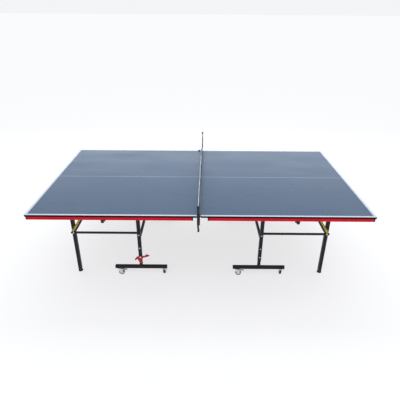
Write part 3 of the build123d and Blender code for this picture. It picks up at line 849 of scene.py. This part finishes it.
@dataclass
class HalfPart:
    """A sub-assembly of one half of the table."""

    half: Half

    def named(self, part: str) -> str:
        """The full name of one of this half's nodes or pieces."""
        return f"{self.half.value}_{part}"

    def box(self, part: str) -> tuple[Vector, Vector]:
        """The lowest and highest corners of one of this half's nodes."""
        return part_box(self.named(part))


@dataclass
class PlayingTop(HalfPart):
    """One half's board with the steel frame under it."""

    plug_length: float = 12 * MM
    lug_edge: float = 0.8 * MM
    bumper_width: float = 16 * MM
    bumper_edge: float = 2.2 * MM
    bumper_taper: float = 0.86
    bumper_rim: float = 3 * MM
    bumper_dish: float = 1.2 * MM
    strip: float = 2.2 * MM
    strip_inset: float = 2.5 * MM
    strip_edge: float = 0.8 * MM

    def build(self) -> None:
        """Dress the frame's nodes and model the plugs and bumpers."""
        name = self.half.value
        board = NODES[f"{name}_board"]
        BLUE_BOARD.dress(board)
        EDGE_BAND.dress_faces(board, lambda centre, normal: abs(normal.z) < 0.1)
        RED_COAT.dress(NODES[f"{name}_side_rails"], NODES[f"{name}_cross_rails"])
        BLACK_COAT.dress(softened(f"{name}_frame_lugs", f"{name}_pivot_lugs", self.lug_edge))
        self.plugs()
        self.bumpers()
        self.seam_strip()
        LOG.info("%s playing top: board, rails, lugs, plugs, bumpers and seam strip", name)

    def seam_strip(self) -> None:
        """Model the soft black strip that closes this half's share of the seam."""
        node = self.named("board")
        low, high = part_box(node)
        inset, face = self.strip_inset, high.x if self.half is Half.LEFT else -low.x
        strip = block(
            self.named("seam_strip"),
            (face - self.strip / 2, low.y + 2 * inset, low.z + inset),
            (face + self.strip, high.y - 2 * inset, high.z - inset),
        )
        with Editing(strip) as edit:
            edit.edges(lambda a, b: min(a.x, b.x) > face and abs(a.y - b.y) > self.strip)
            edit.bevel(self.strip_edge, 3)
        smooth(strip)
        if self.half is Half.RIGHT:
            strip.data.transform(Matrix.Rotation(math.pi, 4, "Z"))
        BLOCK_RUBBER.dress(strip)
        fix_to(strip, node)

    def plugs(self) -> None:
        """Model one rail plug and fit it in the four rail ends."""
        node = self.named("rail_plugs")
        low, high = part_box(node)
        rail_low, rail_high = self.box("side_rails")
        width = rail_high.y - self.box("cross_rails")[1].y
        plug = TubePlug().make("plug", width, high.z - low.z, self.plug_length)
        places = tube_ends(rail_low.x, rail_high.x, high.y - width / 2, node_centre(node).z)
        piece = repeat(plug, self.named("rail_end_plugs"), places)
        BLACK_PLASTIC.dress(stand_for(piece, node))

    def bumpers(self) -> None:
        """Model one rubber bumper and fit it under both side rails."""
        node = self.named("bumpers")
        low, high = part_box(node)
        corner = Vector(((high.x - low.x) / 2, self.bumper_width / 2, high.z))
        bumper = block("bumper", (-corner.x, -corner.y, low.z), corner)
        with Editing(bumper) as edit:
            edit.ends(-1)
            edit.widen(self.bumper_taper)
            edit.inset(self.bumper_rim)
            edit.inset(self.bumper_dish / 2, -self.bumper_dish)
            edit.edges(lambda a, b: abs(a.z - b.z) > (high.z - low.z) / 2)
            edit.bevel(self.bumper_edge, 4)
        round_edges(bumper, 0.8 * MM)
        x, y = node_centre(node).x, high.y - corner.y
        places = [Matrix.Translation((x, side.sign * y, 0)) for side in Side]
        BLOCK_RUBBER.dress(stand_for(repeat(bumper, self.named("rubber_bumpers"), places), node))


@dataclass
class LegFrame(HalfPart):
    """What both leg frames of one half share: their tube, their pivots and the link pins."""

    leg: float = 30 * MM
    ear: float = 4 * MM
    pin_shank: float = 5 * MM
    pin_radius: float = 8 * MM
    pin_head: float = 3 * MM
    link_height: float = 430 * MM
    link_thickness: float = 6 * MM
    link_gap: float = 0.3 * MM
    spacer_radius: float = 8 * MM
    pivot_height: float = 700 * MM
    pivot_reach: float = 50 * MM

    @property
    def link_outer(self) -> float:
        """The distance of the link bars' outer faces from the table's centre line."""
        return self.box("link_bars")[1].y

    @property
    def link_inner(self) -> float:
        """The distance of what bears on the link bars' inner faces, with its gap."""
        return self.link_outer - self.link_thickness - self.link_gap

    @property
    def pin(self) -> Bolt:
        """A pivot pin, with a head at both ends."""
        end = (self.pin_radius, self.pin_head)
        return Bolt(self.pin_shank, *end, *end, nut=False)

    def leg_faces(self, leg_y: float) -> tuple[float, float]:
        """The distances of a leg's inner and outer faces from the table's centre line."""
        return leg_y - self.leg / 2, leg_y + self.leg / 2

    def pivot_row(self, leg_x: float, inner: float, outer: float) -> tuple:
        """The pivot pin's row for fasteners, from the leg's place and its two faces."""
        x = leg_x - self.half.outward * self.pivot_reach
        return self.pin, x, self.pivot_height, inner - self.ear, outer + self.ear

    def fasteners(
        self,
        rows: tuple[tuple[Bolt, float, float, float, float], ...],
        spacer: tuple[float, float, float],
    ) -> list[Piece]:
        """Model the bolts of both legs and the spacers that hold the links off them.

        Args:
            rows: each bolt, its place along X, its height, and the distances from the table's
                centre line that it starts and ends at.
            spacer: the spacer's place along X and the distances that it starts and ends at.

        Returns:
            The pieces.
        """
        made = []
        for side in Side:
            for bolt, x, z, start, end in rows:
                ends = [Vector((x, side.sign * y, z)) for y in (start, end)]
                made.append(bolt.make("bolt", *ends))
            x, start, end = spacer
            tube = rod("spacer", self.spacer_radius, start, end)
            round_edges(tube, 0.4 * MM)
            tube.data.transform(along(Vector((x, 0, self.link_height)), side.outward))
            made.append(tube)
        return made


@dataclass
class Trolley(LegFrame):
    """One half's rolling frame: legs, feet, caps, bolts and the latch lever."""

    foot_bar: float = 28 * MM
    cap_length: float = 4 * MM
    bolt_head: float = 4 * MM
    link_head_radius: float = 6 * MM
    upper_bolt: float = 294 * MM
    lower_bolt: float = 203 * MM
    lever_shank: float = 6 * MM
    lever_tail: float = 6.5 * MM
    lever_stack: float = 7.3 * MM

    def build(self) -> None:
        """Dress the welded frame and feet, and model caps, bolts and lever."""
        name = self.half.value
        BLACK_COAT.dress(NODES[f"{name}_trolley_frame"], NODES[f"{name}_trolley_feet"])
        LEVER_PLASTIC.dress(softened(f"{name}_latch_lever", f"{name}_latch_hook", 1.1 * MM, 3))
        self.caps()
        self.bolts()
        LOG.info("%s trolley: frame, feet, caps, bolts and latch lever", name)

    @property
    def leg_x(self) -> float:
        """The place of the legs along X, the middle of the feet."""
        return node_centre(self.named("trolley_feet")).x

    @property
    def leg_y(self) -> float:
        """The distance of the legs' centres from the table's centre line."""
        return self.box("trolley_feet")[1].y - self.foot_bar / 2

    def caps(self) -> None:
        """Model one foot cap and fit it in the four bar ends."""
        node = self.named("foot_caps")
        low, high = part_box(node)
        size, length = high.z - low.z, self.cap_length
        cap = TubePlug(rim=3.2 * MM, dish=0.8 * MM).make("cap", size, size, length)
        z = node_centre(node).z
        places = tube_ends(low.x + length, high.x - length, high.y - size / 2, z)
        BLACK_PLASTIC.dress(stand_for(repeat(cap, self.named("foot_end_caps"), places), node))

    def bolts(self) -> None:
        """Model the pivot pins, link pins and leg bolts of both legs."""
        x, (inner, outer) = self.leg_x, self.leg_faces(self.leg_y)
        head = (self.link_head_radius, self.bolt_head)
        link_pin = Bolt(self.pin_shank, *head, self.pin_radius, self.pin_head, nut=False)
        rows = (
            self.pivot_row(x, inner, outer),
            (link_pin, x, self.link_height, self.link_inner, outer),
            (Bolt(), x, self.upper_bolt, inner, outer),
            (Bolt(), x, self.lower_bolt, inner, outer),
        )
        made = self.fasteners(rows, (x, self.link_outer + self.link_gap, inner))
        made.append(self.latch_bolt(outer))
        node = self.named("trolley_bolts")
        ZINC.dress(stand_for(join(self.named("leg_bolts"), made), node))

    def latch_bolt(self, leg_face: float) -> Piece:
        """Model the shoulder bolt that the lever turns on.

        Args:
            leg_face: the distance of the leg's outer face from the centre line.

        Returns:
            The bolt.
        """
        sign = self.half.latch_side
        start = Vector((self.leg_x, sign * leg_face, self.lower_bolt))
        end = start + Vector((0, sign * self.lever_stack, 0))
        head, tail = (self.pin_radius, self.bolt_head), (self.lever_tail, 0.5 * MM)
        return Bolt(self.lever_shank, *head, *tail, nut=False).make("bolt", start, end)


@dataclass
class OuterLegs(LegFrame):
    """One half's outer leg frame with its links, release bar, pins and levelling feet."""

    plate_gap: float = 1 * MM
    plate: float = 3 * MM
    plate_skin: float = 0.3 * MM
    pin_reach: float = 6 * MM
    bar_radius: float = 8 * MM
    sleeve: float = 9 * MM
    sleeve_past: float = 0.6 * MM
    sleeve_wall: float = 0.9 * MM
    sleeve_rim: float = 2.5 * MM
    sleeve_dish: float = 0.8 * MM
    pad_height: float = 12 * MM
    pad_taper: float = 0.93
    pad_dish: float = 1.2 * MM
    pad_hollow: float = 0.8 * MM
    pad_rim: float = 7 * MM
    nut_height: float = 4 * MM
    nut_radius: float = 9 * MM
    stem_radius: float = 5 * MM
    thread_pitch: float = 1.5 * MM
    thread_depth: float = 0.7 * MM

    def build(self) -> None:
        """Dress the leg frame and model the bars, pins and feet."""
        name = self.half.value
        BLACK_COAT.dress(NODES[f"{name}_outer_frame"])
        BLACK_COAT.dress(softened(f"{name}_link_bars", f"{name}_flat_links", 0.8 * MM))
        self.release_bar()
        self.pins()
        for side in Side:
            self.levelling_foot(side)
        LOG.info("%s outer legs: frame, links, release bar, pins and levelling feet", name)

    @property
    def leg_x(self) -> float:
        """The place of the legs along X."""
        return node_centre(self.named("near_levelling_foot")).x

    @property
    def leg_y(self) -> float:
        """The distance of the legs' centres from the table's centre line."""
        return node_centre(self.named("far_levelling_foot")).y

    def release_bar(self) -> None:
        """Round the release bar's edges, paint its plates black and fit its end sleeves."""
        node = self.named("release_bar")
        low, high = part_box(node)
        bar = softened(node, self.named("yellow_release_bar"), 0.5 * MM)
        YELLOW_COAT.dress(bar)
        start = self.link_outer + self.plate_gap
        plate_low, plate_high = start - self.plate_skin, start + self.plate + self.plate_skin
        BLACK_COAT.dress_faces(bar, lambda centre, normal: plate_low < abs(centre.y) < plate_high)
        radius = self.bar_radius
        x = low.x + radius if self.half is Half.RIGHT else high.x - radius
        middle = Vector((x, 0, high.z - radius))
        ends = (high.y - self.sleeve, high.y + self.sleeve_past)
        sleeves = []
        for side in Side:
            sleeve = rod("sleeve", radius + self.sleeve_wall, *ends)
            with Editing(sleeve) as edit:
                edit.ends()
                edit.inset(self.sleeve_rim)
                edit.extrude(z=-self.sleeve_dish)
            round_edges(sleeve, 0.8 * MM, 3)
            sleeve.data.transform(along(middle, side.outward))
            sleeves.append(sleeve)
        piece = join(f"{node}_end_sleeves", sleeves)
        BLACK_PLASTIC.dress(piece)
        fix_to(piece, node)

    def pins(self) -> None:
        """Model the leg-top pivot pins and the shoulder pins of links and release bar."""
        x, (inner, outer) = self.leg_x, self.leg_faces(self.leg_y)
        node = self.named("outer_pins")
        pin_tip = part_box(node)[1].y - self.pin_head
        rows = (
            self.pivot_row(x, inner, outer),
            (self.pin, x, self.link_height, outer - self.pin_reach, pin_tip),
        )
        made = self.fasteners(rows, (x, outer, self.link_inner))
        ZINC.dress(stand_for(join(self.named("outer_leg_pins"), made), node))

    def levelling_foot(self, side: Side) -> None:
        """Model a rubber pad with a threaded stem and a lock nut.

        Args:
            side: which leg it is under.
        """
        node = self.named(f"{side.value}_levelling_foot")
        low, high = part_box(node)
        middle, radius = node_centre(node), (high.x - low.x) / 2
        pad = rod(f"{node}_pad", radius, 0, self.pad_height, 56)
        with Editing(pad) as edit:
            edit.ends()
            edit.widen(self.pad_taper)
            edit.inset(self.pad_rim)
            edit.extrude(z=-self.pad_dish)
            edit.ends(-1)
            edit.inset(3 * MM)
            edit.inset(1 * MM, -self.pad_hollow)
        round_edges(pad, 1.1 * MM, 3)
        place = Matrix.Translation((middle.x, middle.y, low.z))
        pad.data.transform(place)
        BLOCK_RUBBER.dress(stand_for(pad, node))
        ends = (self.pad_height - 2 * MM, high.z - low.z)
        thread = (self.thread_pitch, self.thread_depth)
        stem = threaded_rod("stem", self.stem_radius, *ends, *thread)
        nut = rod("nut", self.nut_radius, self.pad_height, self.pad_height + self.nut_height, 6)
        round_edges(nut, 0.7 * MM)
        stem = join(f"{node}_stem", [stem, nut])
        stem.data.transform(place)
        ZINC.dress(stem)
        fix_to(stem, node)


def threaded_rod(
    name: str, radius: float, low: float, high: float, pitch: float, depth: float
) -> Piece:
    """Model a rod whose thread is a stack of rings, extruded one after the other.

    Args:
        name: the piece's name.
        radius: the thread's outer radius.
        low: the height of its lower end.
        high: the height of its upper end.
        pitch: the distance from ring to ring.
        depth: the thread's depth.

    Returns:
        The rod.
    """
    turns = round((high - low) / pitch)
    step = (high - low) / turns / 2
    piece = rod(name, radius - depth, low, low + step * 0.5, 20)
    thin, wide = (radius - depth) / radius, radius / (radius - depth)
    with Editing(piece) as edit:
        edit.ends()
        for _ in range(turns - 1):
            for share in (wide, thin):
                edit.extrude(z=step)
                edit.widen(share)
        edit.extrude(z=step * 1.5)
    smooth(piece, 25)
    return piece


# ---- casters


@dataclass
class Caster:
    """One swivel caster: pressed fork, tyre on a moulded hub, and a brake pedal on some."""

    corner: str
    rim: float = 6.5 * MM
    width: float = 18 * MM
    tyre_edge: float = 3 * MM
    groove: float = 0.7 * MM
    groove_inner: float = 2 * MM
    groove_outer: float = 3.2 * MM
    hub_rim: float = 2.2 * MM
    hub_dish: float = 2.6 * MM
    boss: float = 8 * MM
    boss_rise: float = 0.8
    axle: float = 4.1 * MM
    pocket: float = 1.6 * MM
    pocket_edge: float = 0.6 * MM
    spokes: int = 6
    spoke_angle: float = 15

    def build(self) -> None:
        """Model the fork, wheel and pedal of this corner."""
        ZINC.dress(softened(f"{self.corner}_fork", f"{self.corner}_pressed_fork", 0.5 * MM))
        self.wheel()
        braked = f"{self.corner}_brake" in NODES
        if braked:
            ZINC.dress(softened(f"{self.corner}_brake", f"{self.corner}_brake_pedal", 0.7 * MM))
        LOG.info("%s: fork and wheel%s", self.corner, ", with a brake pedal" if braked else "")

    def wheel(self) -> None:
        """Model the tyre and the hub on Z, then turn them onto the axle."""
        node = f"{self.corner}_wheel"
        joint = JOINTS[f"{self.corner}_roll"]
        low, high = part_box(node)
        radius = (high.z - low.z) / 2
        place = along(Vector(joint["pos_m"]), Vector(joint["axis"]))
        tyre, hub = self.tyre(radius), self.hub(radius - self.rim)
        tyre.data.transform(place)
        hub.data.transform(place)
        TYRE_RUBBER.dress(stand_for(tyre, node))
        HUB_PLASTIC.dress(hub)
        fix_to(hub, node)

    def tyre(self, radius: float) -> Piece:
        """Model the tyre: a ring with rounded shoulders and two tread grooves.

        Args:
            radius: the wheel's radius.

        Returns:
            The tyre.
        """
        piece = rod(f"{self.corner}_tyre", radius, -self.width / 2, self.width / 2, 56)
        inner, outer = self.groove_inner, self.groove_outer
        with Editing(piece) as edit:
            edit.faces(lambda centre, normal: abs(normal.z) > FACING)
            edit.inset(self.rim)
            bpy.ops.mesh.bridge_edge_loops()
            edit.edges(
                lambda a, b: min(a.xy.length, b.xy.length) > radius - TINY
                and abs(a.z - b.z) < TINY
            )
            edit.bevel(self.tyre_edge, 4)
            for height in (-outer, -inner, inner, outer):
                bpy.ops.mesh.select_all(action="SELECT")
                bpy.ops.mesh.bisect(plane_co=(0, 0, height), plane_no=(0, 0, 1))
            edit.faces(
                lambda centre, normal: inner < abs(centre.z) < outer
                and abs(normal.z) < 0.1
                and centre.xy.length > radius - 1 * MM
            )
            edit.extrude()
            edit.widen(1 - self.groove / radius)
        smooth(piece)
        return piece

    def between_spokes(self, centre: Vector) -> bool:
        """Whether a place on the hub's disc lies between two spokes."""
        per_spoke = 360 / self.spokes
        turned = math.degrees(math.atan2(centre.y, centre.x)) % per_spoke
        return self.spoke_angle < turned < per_spoke - 1

    def hub(self, radius: float) -> Piece:
        """Model the hub: a dished disc with a raised boss, spokes and an axle hole.

        Args:
            radius: the hub's radius.

        Returns:
            The hub.
        """
        half_width = self.width / 2 - 0.4 * MM
        edge, disc = self.pocket_edge, radius - self.hub_rim
        piece = rod(f"{self.corner}_hub", radius, -half_width, half_width, 48)
        with Editing(piece) as edit:
            for way in (-1, 1):
                edit.ends(way)
                edit.inset(self.hub_rim)
                edit.extrude(z=-way * self.hub_dish)
                edit.inset(disc - self.boss)
                edit.extrude(z=way * self.hub_dish * self.boss_rise)
                edit.inset(self.boss - self.axle)
            edit.faces(
                lambda centre, normal: abs(normal.z) > FACING
                and self.boss < centre.xy.length < disc
                and self.between_spokes(centre)
            )
            edit.inset(edge)
            for way in (-1, 1):
                edit.faces(
                    lambda centre, normal: normal.z * way > FACING
                    and self.boss + edge < centre.xy.length < disc - 0.5 * MM
                    and self.between_spokes(centre)
                )
                edit.extrude(z=-way * self.pocket)
            edit.faces(lambda centre, normal: abs(normal.z) > FACING and centre.xy.length < 1 * MM)
            bpy.ops.mesh.bridge_edge_loops()
        round_edges(piece, 0.3 * MM, 2, 50)
        return piece


# ---- net set


@dataclass
class NetSet:
    """The net, its tape, and the two posts with their clamps and screws."""

    pitch: float = 12 * MM
    cord: float = 1.7 * MM
    tape_fold: float = 1.8 * MM
    tape_cloth: float = 0.7 * MM
    tape_grid: tuple[int, int] = (150, 16)
    tape_pinch: float = 0.45
    tape_ripple: float = 0.35 * MM
    ripples: float = 41
    tape_sag: float = 0.4 * MM
    sway: float = 6 * MM
    sway_waves: float = 12.8
    sway_start: float = -2.9
    sway_far: float = 0.45
    post_radius: float = 7 * MM
    screw_radius: float = 5 * MM
    knob_radius: float = 8 * MM
    knob_height: float = 30 * MM
    knob_ribs: int = 12
    knob_waist: float = 0.88
    thread_pitch: float = 1.6 * MM
    thread_depth: float = 0.7 * MM
    screw_pad: float = 9 * MM
    screw_pad_height: float = 5 * MM
    post_gap: float = 0.3 * MM
    cap_skirt: float = 12 * MM
    cap_rise: float = 13 * MM
    cap_wall: float = 1.2 * MM
    cap_edge: float = 1.2 * MM
    tips: dict[Side, Vector] = field(default_factory=dict)

    def build(self) -> None:
        """Model the posts, screws, net and tape."""
        self.tips = {side: self.tip(side) for side in Side}
        for side in Side:
            self.post(side)
            self.clamp_screw(side)
        tape = self.tape()
        self.netting()
        LOG.info("net set: two clamped posts, netting and tape")

    def offset(self, y: float, share: float) -> float:
        """How far the hung net swings out of its plane.

        Args:
            y: the place along the net.
            share: the height up the net, from 0 to 1.

        Returns:
            The offset along X.
        """
        t = 2 * y / self.length
        hold = 1 - t**6
        wave = 0.5 + 0.5 * math.sin(self.sway_waves * t + self.sway_start)
        return -self.sway * hold * share * (1 - self.sway_far * (1 - t)) * wave

    def tip(self, side: Side) -> Vector:
        """The middle of a post's top."""
        post = NODES[f"{side.value}_net_post"]
        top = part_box(post.name)[1].z
        places = [post.matrix_world @ vertex.co for vertex in post.data.vertices]
        rim = [place for place in places if place.z > top - 1 * MM]
        middle = [(min(p[axis] for p in rim) + max(p[axis] for p in rim)) / 2 for axis in (0, 1)]
        return Vector((*middle, top))

    @property
    def length(self) -> float:
        """The net's length from post to post."""
        between = self.tips[Side.FAR] - self.tips[Side.NEAR]
        return between.length - 2 * (self.post_radius + self.post_gap)

    @property
    def posts(self) -> list[str]:
        """The names of the posts' pieces, which the net hangs from."""
        return [f"{side.value}_post_and_clamp" for side in Side]

    def grid(self, name: str, columns: int, rows: int) -> Piece:
        """Start a flat grid, a metre each way, with its columns along the net."""
        deselect_all()
        bpy.ops.mesh.primitive_grid_add(x_subdivisions=columns, y_subdivisions=rows, size=1)
        return started(name)

    def hang(self, piece: Piece) -> None:
        """Turn a piece that was made along Y so that it hangs from post to post.

        Args:
            piece: the netting or the tape.
        """
        near, far = self.tips[Side.NEAR], self.tips[Side.FAR]
        turn = -math.atan2(far.x - near.x, far.y - near.y)
        middle = Vector(((near.x + far.x) / 2, (near.y + far.y) / 2, 0))
        piece.data.transform(Matrix.Translation(middle) @ Matrix.Rotation(turn, 4, "Z"))

    def post(self, side: Side) -> None:
        """Model the post: the clamp with rounded edges and a moulded cap on top."""
        node = f"{side.value}_net_post"
        body = softened(node, f"{side.value}_post_and_clamp", 0.9 * MM, 3)
        BLACK_COAT.dress(body)
        tip = self.tips[side]
        top = tip.z + self.cap_rise
        radius = self.post_radius + self.cap_wall
        cap = rod(f"{side.value}_post_cap", radius, tip.z - self.cap_skirt, top)
        with Editing(cap) as edit:
            edit.ends()
            edit.inset(1.6 * MM)
            edit.extrude(z=0.01 * MM)
            edit.edges(
                lambda a, b: min(a.z, b.z) > top - 1 * MM
                and abs(a.xy.length - b.xy.length) < TINY
            )
            edit.bevel(self.cap_edge, 3)
        smooth(cap)
        cap.data.transform(Matrix.Translation((tip.x, tip.y, 0)))
        BLACK_PLASTIC.dress(cap)
        fix_to(cap, node)

    def clamp_screw(self, side: Side) -> None:
        """Model a clamp screw: ribbed knob, threaded rod and pressure pad."""
        node = f"{side.value}_clamp_screw"
        low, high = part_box(node)
        middle = node_centre(node)
        knob_top, thread_top = low.z + self.knob_height, high.z - self.screw_pad_height
        knob = rod(f"{node}_knob", self.knob_radius, low.z, knob_top, self.knob_ribs * 4)
        rib_turn = 360 / self.knob_ribs
        with Editing(knob) as edit:
            edit.faces(
                lambda centre, normal: abs(normal.z) < 0.1
                and math.degrees(math.atan2(centre.y, centre.x)) % rib_turn < rib_turn / 2
            )
            edit.extrude()
            edit.widen(self.knob_waist, self.knob_waist, low.z + self.knob_height / 2)
        round_edges(knob, 0.5 * MM)
        thread = (self.thread_pitch, self.thread_depth)
        screw = threaded_rod("screw", self.screw_radius, knob_top - 2 * MM, thread_top, *thread)
        pad = rod("pad", self.screw_pad, thread_top, high.z)
        round_edges(pad, 0.8 * MM, 3)
        screw = join(f"{node}_thread", [screw, pad])
        for piece in (knob, screw):
            piece.data.transform(Matrix.Translation((middle.x, middle.y, 0)))
        BLACK_PLASTIC.dress(stand_for(knob, node))
        ZINC.dress(screw)
        fix_to(screw, node)

    def netting(self) -> None:
        low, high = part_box("net_mesh")
        length, depth = self.length, high.z - low.z
        columns, rows = round(length / self.pitch), round(depth / self.pitch)
        net = self.grid("net_netting", columns, rows)
        for vertex in net.data.vertices:
            share = vertex.co.y + 0.5
            y = vertex.co.x * length
            height = low.z + self.cord / 2 + share * (depth - self.cord / 2)
            vertex.co = (self.offset(y, share), y, height)
        modify(net, "WIREFRAME", thickness=self.cord, use_even_offset=False, use_boundary=True)
        smooth(net, 60)
        self.hang(net)
        stand_for(net, "net_mesh")
        GREEN_CORD.dress(net)

    def tape(self) -> Piece:
        """Returns:
            The tape.
        """
        low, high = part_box("net_tape")
        length, drop = self.length, high.z - low.z
        bow = self.tape_fold
        straight = drop - bow
        flat_width = 2 * straight + math.pi * bow
        tape = self.grid("net_white_tape", *self.tape_grid)
        for vertex in tape.data.vertices:
            y, around = vertex.co.x * length, vertex.co.y * flat_width
            if abs(around) < math.pi * bow / 2:
                x, z = bow * math.sin(around / bow), high.z - bow + bow * math.cos(around / bow)
            else:
                past = abs(around) - math.pi * bow / 2
                pinch = 1 - self.tape_pinch * math.sin(math.pi * min(1, past / straight))
                x, z = math.copysign(bow * pinch, around), high.z - bow - past
            ripple = self.tape_ripple * math.sin(y * self.ripples + 2 * x / bow)
            vertex.co = (x + ripple + self.offset(y, 1), y, z - self.tape_sag)
        for corner in tape.data.uv_layers.active.data:
            corner.uv = (corner.uv[0] * length, corner.uv[1] * flat_width)
        modify(tape, "SOLIDIFY", thickness=self.tape_cloth, offset=-1)
        smooth(tape, 60)
        self.hang(tape)
        stand_for(tape, "net_tape")
        PALE_TAPE.dress(tape)
        return tape


# ---- studio


@dataclass(frozen=True)
class Lamp:
    """A soft rectangular lamp, aimed at a point above the table's middle line."""

    name: str
    place: tuple[float, float, float]
    aim_y: float
    size: tuple[float, float]
    power: float
    aim_height: float = 0.7

    def hang(self) -> None:
        """Put the lamp up, out of the camera's sight."""
        light = bpy.data.lights.new(self.name, "AREA")
        light.shape = "RECTANGLE"
        light.size, light.size_y = self.size
        light.energy = self.power
        lamp = bpy.data.objects.new(self.name, light)
        lamp.location = self.place
        aim = Vector((0, self.aim_y, self.aim_height)) - Vector(self.place)
        lamp.rotation_euler = aim.to_track_quat("-Z", "Y").to_euler()
        lamp.visible_camera = False
        bpy.context.scene.collection.objects.link(lamp)


LAMPS = (
    Lamp("key", (-1.2, -3.2, 4.2), 0, (3.0, 3.0), 5),
    Lamp("fill", (2.6, 1.0, 4.0), 0, (3.0, 3.0), 8),
    Lamp("over", (0, 0.9, 3.0), 0.7, (5.0, 1.0), 44),
    Lamp("back", (0, 3.7, 1.65), 0.4, (7.0, 1.2), 19),
)


@dataclass
class Studio:
    """The plain pale floor, the soft light and the camera."""

    floor_size: float = 400
    floor_tone: Colour = (0.34, 0.345, 0.355)
    floor_light: Colour = (0.985, 0.99, 1)
    floor_glow: float = 0.66
    sky: Colour = (0.975, 0.98, 1)
    sky_strength: float = 0.93
    eye: tuple[float, float, float] = (-0.004, -3.288, 2.1855)
    look_down: float = 26.96
    lean: float = 0.4
    lens: float = 33.7

    def build(self) -> None:
        """Set up the floor, the lights, the surroundings and the camera."""
        self.floor()
        self.lights()
        self.camera()
        LOG.info("studio: floor, lights and camera")

    def floor(self) -> None:
        """Lay the floor, which glows a little so that shadows on it stay pale."""
        deselect_all()
        bpy.ops.mesh.primitive_plane_add(size=self.floor_size)
        floor = started("studio_floor")
        graph = Graph("studio_white")
        graph.set(Base_Color=self.floor_tone, Roughness=0.9, Specular_IOR_Level=0)
        graph.set(Emission_Color=self.floor_light, Emission_Strength=self.floor_glow)
        floor.data.materials.append(graph.material)

    def lights(self) -> None:
        """Light the table from all round, most of it from above and behind."""
        world = bpy.data.worlds.new("studio_surroundings")
        world.use_nodes = True
        inputs = world.node_tree.nodes["Background"].inputs
        inputs["Color"].default_value = (*self.sky, 1)
        inputs["Strength"].default_value = self.sky_strength
        bpy.context.scene.world = world
        for lamp in LAMPS:
            lamp.hang()

    def camera(self) -> None:
        """Stand the camera in front of the near side, above the net."""
        data = bpy.data.cameras.new("camera")
        data.lens = self.lens
        camera = bpy.data.objects.new("camera", data)
        turn = Matrix.Rotation(math.radians(90 - self.look_down), 4, "X")
        roll = Matrix.Rotation(math.radians(self.lean), 4, "Z")
        camera.matrix_world = Matrix.Translation(self.eye) @ turn @ roll
        bpy.context.scene.collection.objects.link(camera)
        bpy.context.scene.camera = camera
        bpy.context.scene.view_settings.view_transform = "Standard"


def main() -> None:
    """Build the table piece by piece."""
    logging.basicConfig(level=logging.INFO, format="%(message)s")
    Studio().build()
    for half in Half:
        PlayingTop(half).build()
        Trolley(half).build()
        OuterLegs(half).build()
        for side in Side:
            for end in ("outer", "inner"):
                Caster(f"{half.value}_{side.value}_{end}_caster").build()
    NetSet().build()


if __name__ == "__main__":
    main()
